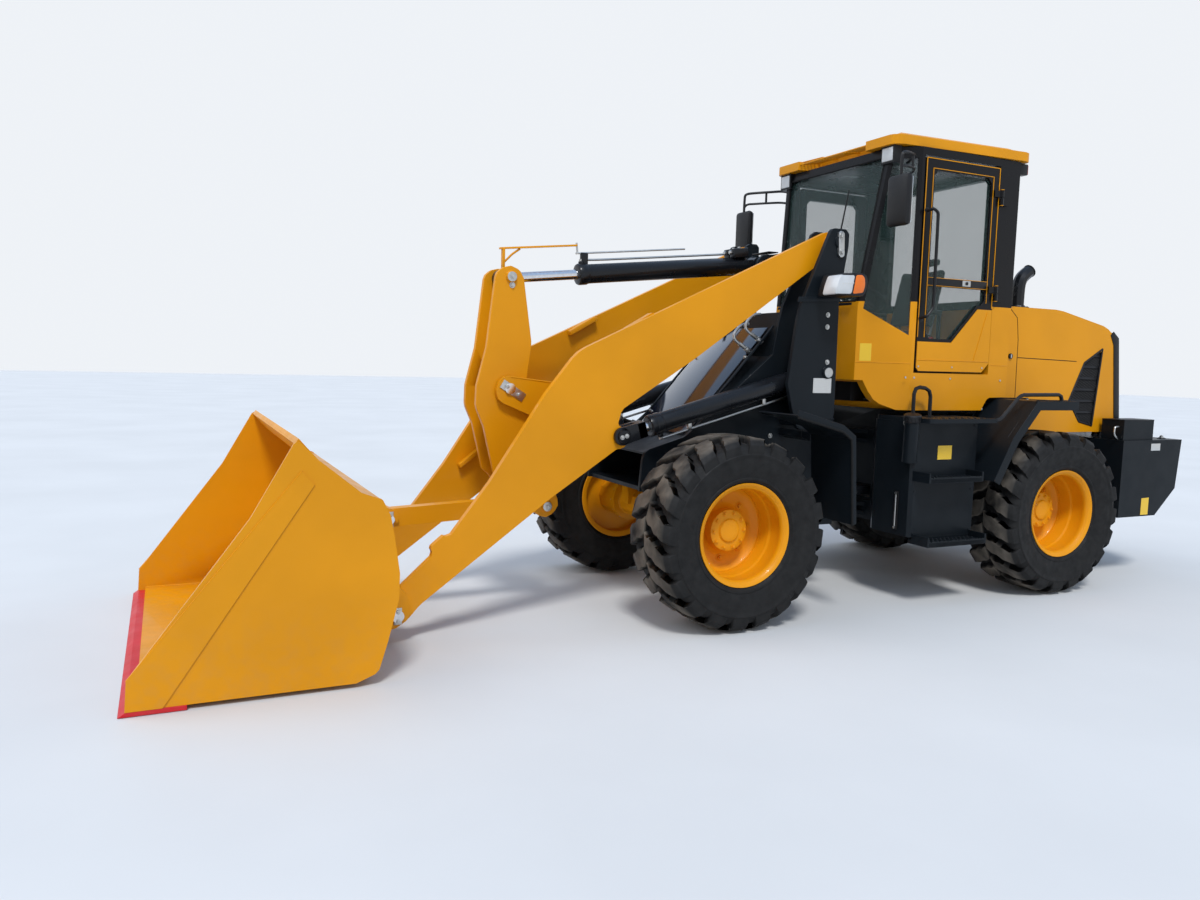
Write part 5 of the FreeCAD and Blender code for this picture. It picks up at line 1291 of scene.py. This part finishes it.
class LOADER_OT_tanks(bpy.types.Operator):
    """Step treads, deck pattern, filler, sight gauge, plates and bolts of the tanks"""

    bl_idname = "loader.tanks"
    bl_label = "Tanks"

    def execute(self, context):
        kit = Kit("tank_fittings", "rear_frame")
        for front, rear, top in STEP_TREADS:
            pitch = (front - rear - 36) / 13
            for number in range(14):
                x = rear + 18 + number * pitch
                kit.box("frame_black", (x - 3, 806, top - 1), (x + 3, 924, top + 4), 0.001)
            for y in (826, 864, 902):
                studs = [(rear + 34 + number * pitch, y, top) for number in range(13)]
                kit.rods("frame_black", studs, (0, 0, 5), 0.008, 0.0045, 12)
            kit.box("frame_black", (rear, 926, top - 26), (front, 930, top + 6), 0.0015)
            kit.rods("frame_black", [(rear + 10 + number * (front - rear - 20) / 19, 927, top + 5)
                                     for number in range(20)], (0, 0, 6), 0.006, 0.002, 4)
        kit.box("frame_black", (-1768, 776, 400), (-1290, 800, 424))
        for row in range(4):
            for number in range(16):
                turn = Matrix.Rotation(math.radians(45 if (row + number) % 2 else -45), 4, "Z")
                x, y = -1768 + number * 26, 826 + row * 28
                kit.box("frame_black", (x - 9, y - 2, 1145), (x + 9, y + 2, 1148.5), 0.0008, turn)
        kit.plate("plate_yellow", TANK_SIDE, 1.2, ((-1460, 975), (-1574, 975), (-1574, 890), (-1460, 890)))
        screws = [(x, TANK_SIDE, z) for x in (-1290, -1755) for z in (1095, 700, 445)]
        kit.rods("frame_black", screws, (0, 3, 0), 0.008, sides=16, bevel=0.001)
        kit.box("trim_black", GAUGE + Vector((0, -0.018, 0.452)), GAUGE + Vector((0.008, 0.018, 0.69)), 0.003)
        kit.rod("steel", GAUGE + Vector((0.009, 0, 0.475)), GAUGE + Vector((0.009, 0, 0.668)), 0.0045,
                sides=18)
        for z in (0.465, 0.678):
            kit.rod("steel", GAUGE + Vector((0.006, 0, z)), GAUGE + Vector((0.016, 0, z)), 0.008, sides=6)
        kit.bolts([(-1412, 325, z) for z in (905, 850, 500, 455)], LEFT, 0.009)
        kit.prism("frame_black", [(-1425, 325, 1010), (-1400, 325, 1010), (-1400, 432, 1010),
                                  (-1425, 432, 1010)], UP * 0.006, 0.001)
        kit.place(both=True)
        self.filler()
        kit = Kit("fender_fittings", "rear_frame")
        kit.bolts([(-2070, 560, 1180), (-2320, 700, 1249), (-2320, 860, 1249)], UP, 0.009)
        for y in (560, 900):
            kit.pipe("frame_black", [(-2498, y, 1258), (-2138, y, 1258), (-1935, y, 1028)], 0.004, 2)
        kit.rods("trim_black", [(-1340, 700, 1146), (-1475, 700, 1146)], (0, 0, 6), 0.024, sides=28,
                 bevel=0.002)
        kit.place(both=True)
        return {"FINISHED"}

    def filler(self):
        kit = Kit("filler", "rear_frame")
        mouth = FILLER_MOUTH
        way = (mouth - FILLER_FOOT).normalized()
        kit.rod("frame_black", FILLER_FOOT, mouth, 0.044, sides=36)
        kit.lathe("trim_black", FILLER_CAP, mouth, way, 36)
        first = way.orthogonal().normalized()
        for out in spokes(FILLER_RIBS, first, way.cross(first)):
            rib = mouth + out * 0.0515
            kit.rod("trim_black", rib + way * 0.01, rib + way * 0.032, 0.0028, sides=8)
        kit.pipe("steel", [mouth + way * along - LEFT * aside for along, aside in (
            (0.02, 0.05), (0.0, 0.075), (-0.04, 0.055), (-0.06, 0.036))], 0.0022)
        kit.place()


# Seat and cab inside
CUSHION_FACTS = {"uniform_pressure_force": 4, "tension_stiffness": 40, "compression_stiffness": 40}
CUSHION_VOXEL = 0.016
CUSHION_FRAMES = 20


def evaluated(piece):
    return bpy.data.meshes.new_from_object(piece.evaluated_get(bpy.context.evaluated_depsgraph_get()))


def apply_modifiers(piece):
    baked = evaluated(piece)
    piece.modifiers.clear()
    old = piece.data
    piece.data = baked
    bpy.data.meshes.remove(old)


def cushion(name, low, high, crown, turn=None, pivot=None):
    """Padded block whose faces crown and whose sides pull in, made by a pressure simulation."""
    mesh = bmesh.new()
    low, high = spot(low), spot(high)
    size = high - low - Vector((crown, crown, crown))
    place = Matrix.Translation((low + high) / 2) @ Matrix.Diagonal((*size, 1))
    bmesh.ops.create_cube(mesh, size=1, matrix=place)
    soften(mesh, mesh.edges[:], crown * 1.2, 3)
    if turn:
        bmesh.ops.rotate(mesh, verts=mesh.verts, cent=pivot, matrix=turn)
    piece = finished(name, mesh)
    remesh = piece.modifiers.new("even", "REMESH")
    remesh.mode = "VOXEL"
    remesh.voxel_size = CUSHION_VOXEL
    apply_modifiers(piece)
    puff(piece, crown * 0.6)
    subdivide = piece.modifiers.new("smooth", "SUBSURF")
    subdivide.levels = subdivide.render_levels = 1
    apply_modifiers(piece)
    return piece


def puff(piece, cap):
    """Blow the piece up with a cloth simulation; no point moves further than the cap."""
    cloth = piece.modifiers.new("filling", "CLOTH")
    cloth.settings.use_pressure = True
    for fact, value in CUSHION_FACTS.items():
        setattr(cloth.settings, fact, value)
    cloth.settings.effector_weights.gravity = 0
    start = [corner.co.copy() for corner in piece.data.vertices]
    for frame_number in range(1, CUSHION_FRAMES + 1):
        bpy.context.scene.frame_set(frame_number)
    puffed = evaluated(piece)
    piece.modifiers.clear()
    for corner, was, now in zip(piece.data.vertices, start, puffed.vertices):
        shift = now.co - was
        corner.co = was + shift.normalized() * min(shift.length, cap)
    bpy.data.meshes.remove(puffed)
    bpy.context.scene.frame_set(1)


WHEEL_RING = [(184, -13), (192, -11), (198, -5), (199, 3), (195, 10), (187, 13), (179, 12), (173, 6),
              (171, -2), (175, -9)]
CONSOLE = ((-1192, 1221), (-1192, 1690), (-1262, 1772), (-1290, 1784), (-1352, 1708), (-1356, 1680),
           (-1300, 1221))
DIAL_RIM = [(26, 0), (31, 0), (31, 6), (28, 8), (26, 6)]
LEVER_KNOB = [(0, -22), (14, -16), (19, 0), (15, 16), (0, 24)]


class LOADER_OT_seat(bpy.types.Operator):
    """Sprung seat with padded cushions, piping, belt and arm rests, and the controls round it"""

    bl_idname = "loader.seat"
    bl_label = "Seat"

    def execute(self, context):
        lean = Matrix.Rotation(math.radians(-13.5), 3, "Y")
        hinge = at(-1950, 0, 1700)
        pads = [cushion("seat_pad", (-1985, -228, 1597), (-1568, 228, 1690), 0.022),
                cushion("back_pad", (-1985, -215, 1712), (-1908, 215, 2140), 0.02, lean, hinge),
                cushion("head_pad", (-1982, -130, 2150), (-1918, 130, 2222), 0.016, lean, hinge)]
        for pad in pads:
            fitted(pad, "seat", "rear_frame")
        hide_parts("seat_cushions")
        kit = Kit("seat_fittings", "rear_frame")
        kit.box("trim_black", (-2000, -236, 1586), (-1562, 236, 1602), 0.006)
        for y in (-150, 150):
            kit.rod("steel", (-1976, y, 1604), (-2003, y, 1760), 0.009, sides=14)
        for y in (-262, 262):
            kit.box("trim_black", (-1960, y - 22, 1800), (-1700, y + 22, 1832), 0.012)
            kit.rod("trim_black", (-1960, y * 0.97, 1640), (-1950, y * 0.99, 1806), 0.014, sides=16)
        kit.pipe("rubber", [(-1990, -226, 1604), (-1600, -226, 1604), (-1566, -190, 1604), (-1566, 190, 1604),
                            (-1600, 226, 1604), (-1990, 226, 1604)], 0.004)
        kit.rods("tail_red", [(-1900, 236, 1640)], (0, 26, 0), 0.014, sides=20, bevel=0.003)
        kit.place()
        self.controls()
        return {"FINISHED"}

    def controls(self):
        kit = Kit("cab_controls", "rear_frame")
        low, high = at(-1320, 0, 1650), at(-1470, 0, 1925)
        way = (high - low).normalized()
        kit.lathe("rubber", WHEEL_RING, high, way, 64, closed=True)
        kit.lathe("trim_black", [(0, -30), (30, -30), (46, -12), (52, 4), (46, 14), (0, 18)], high, way, 36)
        outer = way.cross(LEFT)
        for turn in (90, 210, 330):
            out = LEFT * math.cos(math.radians(turn)) + outer * math.sin(math.radians(turn))
            kit.rod("trim_black", high + out * 0.04, high + out * 0.18, 0.013, 0.009, 14)
        knob = high + LEFT * 0.14 + outer * 0.11
        kit.rod("trim_black", knob, knob + way * 0.05, 0.02, bevel=0.006)
        kit.rod("trim_black", low, high - way * 0.02, 0.029, sides=30)
        face = Vector((-0.75, 0, 0.66))
        for y in (-70, 0, 70):
            kit.lathe("steel", DIAL_RIM, (-1313, y, 1768), face, 32, closed=True)
            kit.lathe("lens", [(0, 5), (27, 5), (27, 3), (0, 3)], (-1313, y, 1768), face, 28)
        for y in (-330, -370):
            foot = at(-1640, y, 1560)
            kit.rod("steel", foot, foot + Vector((0.02, 0, 0.2)), 0.007, sides=14)
            kit.lathe("rubber", [(0, 0), (26, 0), (14, 50), (0, 54)], foot, UP, 24)
            kit.lathe("trim_black", LEVER_KNOB, foot + Vector((0.02, 0, 0.21)), UP, 24)
        kit.box("trim_black", (-1900, -400, 1225), (-1560, -300, 1562), 0.015)
        kit.box("trim_black", (-1960, 300, 1225), (-1700, 400, 1500), 0.015)
        for y, size in ((120, 0.05), (210, 0.042)):
            pedal = at(-1345, y, 1290)
            kit.box("rubber", pedal - Vector((0.008, size, 0.06)), pedal + Vector((0.004, size, 0.06)), 0.003,
                    Matrix.Rotation(math.radians(35), 4, "Y"))
        kit.box("rubber", (-2140, -580, 1220), (-1330, 580, 1226))
        kit.place(instead_of=["steering_column"])
        kit = Kit("cab_console", "rear_frame")
        kit.plate("trim_black", -300, 600, CONSOLE, 0.008)
        for x, z in ((-1343, 1600), (-1330, 1500)):
            kit.box("rubber", (x - 3, -230, z - 28), (x + 4, -120, z + 28), 0.003)
        kit.place()


# Axles
class LOADER_OT_axles(bpy.types.Operator):
    """Bolt rings, drain plugs, brake lines and drive shaft flanges of the axles"""

    bl_idname = "loader.axles"
    bl_label = "Axles"

    def execute(self, context):
        for name, axle, toward in (("front", 0, -1), ("rear", REAR_AXLE, 1)):
            body = name + "_frame"
            kit = Kit(name + "_axle_fittings", body)
            for y in (434, 414):
                kit.ring("body_yellow", 95, 134, -7, 7, (axle, y, AXLE_HEIGHT))
            centre = at(axle, 441, AXLE_HEIGHT)
            kit.bolts([centre + out * 0.126 for out in spokes(12, AHEAD, UP)], LEFT, 0.0065)
            kit.bolts([(axle + x, y, 655) for x in (-85, 85) for y in (255, 315)], -UP, 0.012)
            kit.pipe("steel", [(axle + toward * ahead, y, z) for ahead, y, z in (
                (20, 160, 626), (30, 280, 632), (40, 420, 660), (40, 560, 656))], 0.005)
            kit.place(both=True)
            kit = Kit(name + "_axle_housing", body)
            kit.lathe("cast", [(0, 0), (62, 0), (62, 12), (40, 14), (40, 34), (66, 34), (66, 44), (0, 44)],
                      (axle + toward * 205, 0, AXLE_HEIGHT), AHEAD * toward, 32)
            for out in spokes(10, LEFT, UP):
                for way in (toward, -toward):
                    kit.bolt("steel", at(axle + way * 70, 0, AXLE_HEIGHT) + out * 0.152, AHEAD * way, 0.0065)
            kit.rods("steel", [(axle, 0, 360)], (0, 0, 14), 0.012, sides=6)
            kit.place()
        return {"FINISHED"}


STEPS = (LOADER_OT_stage, LOADER_OT_finishes, LOADER_OT_edges, LOADER_OT_tyres, LOADER_OT_rims,
         LOADER_OT_cylinders, LOADER_OT_linkage, LOADER_OT_front_frame, LOADER_OT_cab, LOADER_OT_hood,
         LOADER_OT_tail, LOADER_OT_tanks, LOADER_OT_seat, LOADER_OT_axles)
GROUPS = ((LoaderStage, "loader_stage"), (LoaderLook, "loader_look"))


class LOADER_PT_panel(bpy.types.Panel):
    """Lists the settings and the steps"""

    bl_label = "Wheel loader"
    bl_idname = "LOADER_PT_panel"
    bl_space_type = "VIEW_3D"
    bl_region_type = "UI"
    bl_category = "Loader"

    def draw(self, context):
        for group, name in GROUPS:
            for key in group.__annotations__:
                self.layout.prop(getattr(context.scene, name), key)
        for step in STEPS:
            self.layout.operator(step.bl_idname)


def register():
    for group, name in GROUPS:
        bpy.utils.register_class(group)
        setattr(bpy.types.Scene, name, PointerProperty(type=group))
    for step in STEPS + (LOADER_PT_panel,):
        bpy.utils.register_class(step)


def unregister():
    for step in (LOADER_PT_panel,) + STEPS[::-1]:
        bpy.utils.unregister_class(step)
    for group, name in reversed(GROUPS):
        delattr(bpy.types.Scene, name)
        bpy.utils.unregister_class(group)


def main():
    register()
    for step in STEPS:
        area, action = step.bl_idname.split(".")
        getattr(getattr(bpy.ops, area), action)()


if __name__ == "__main__":
    main()
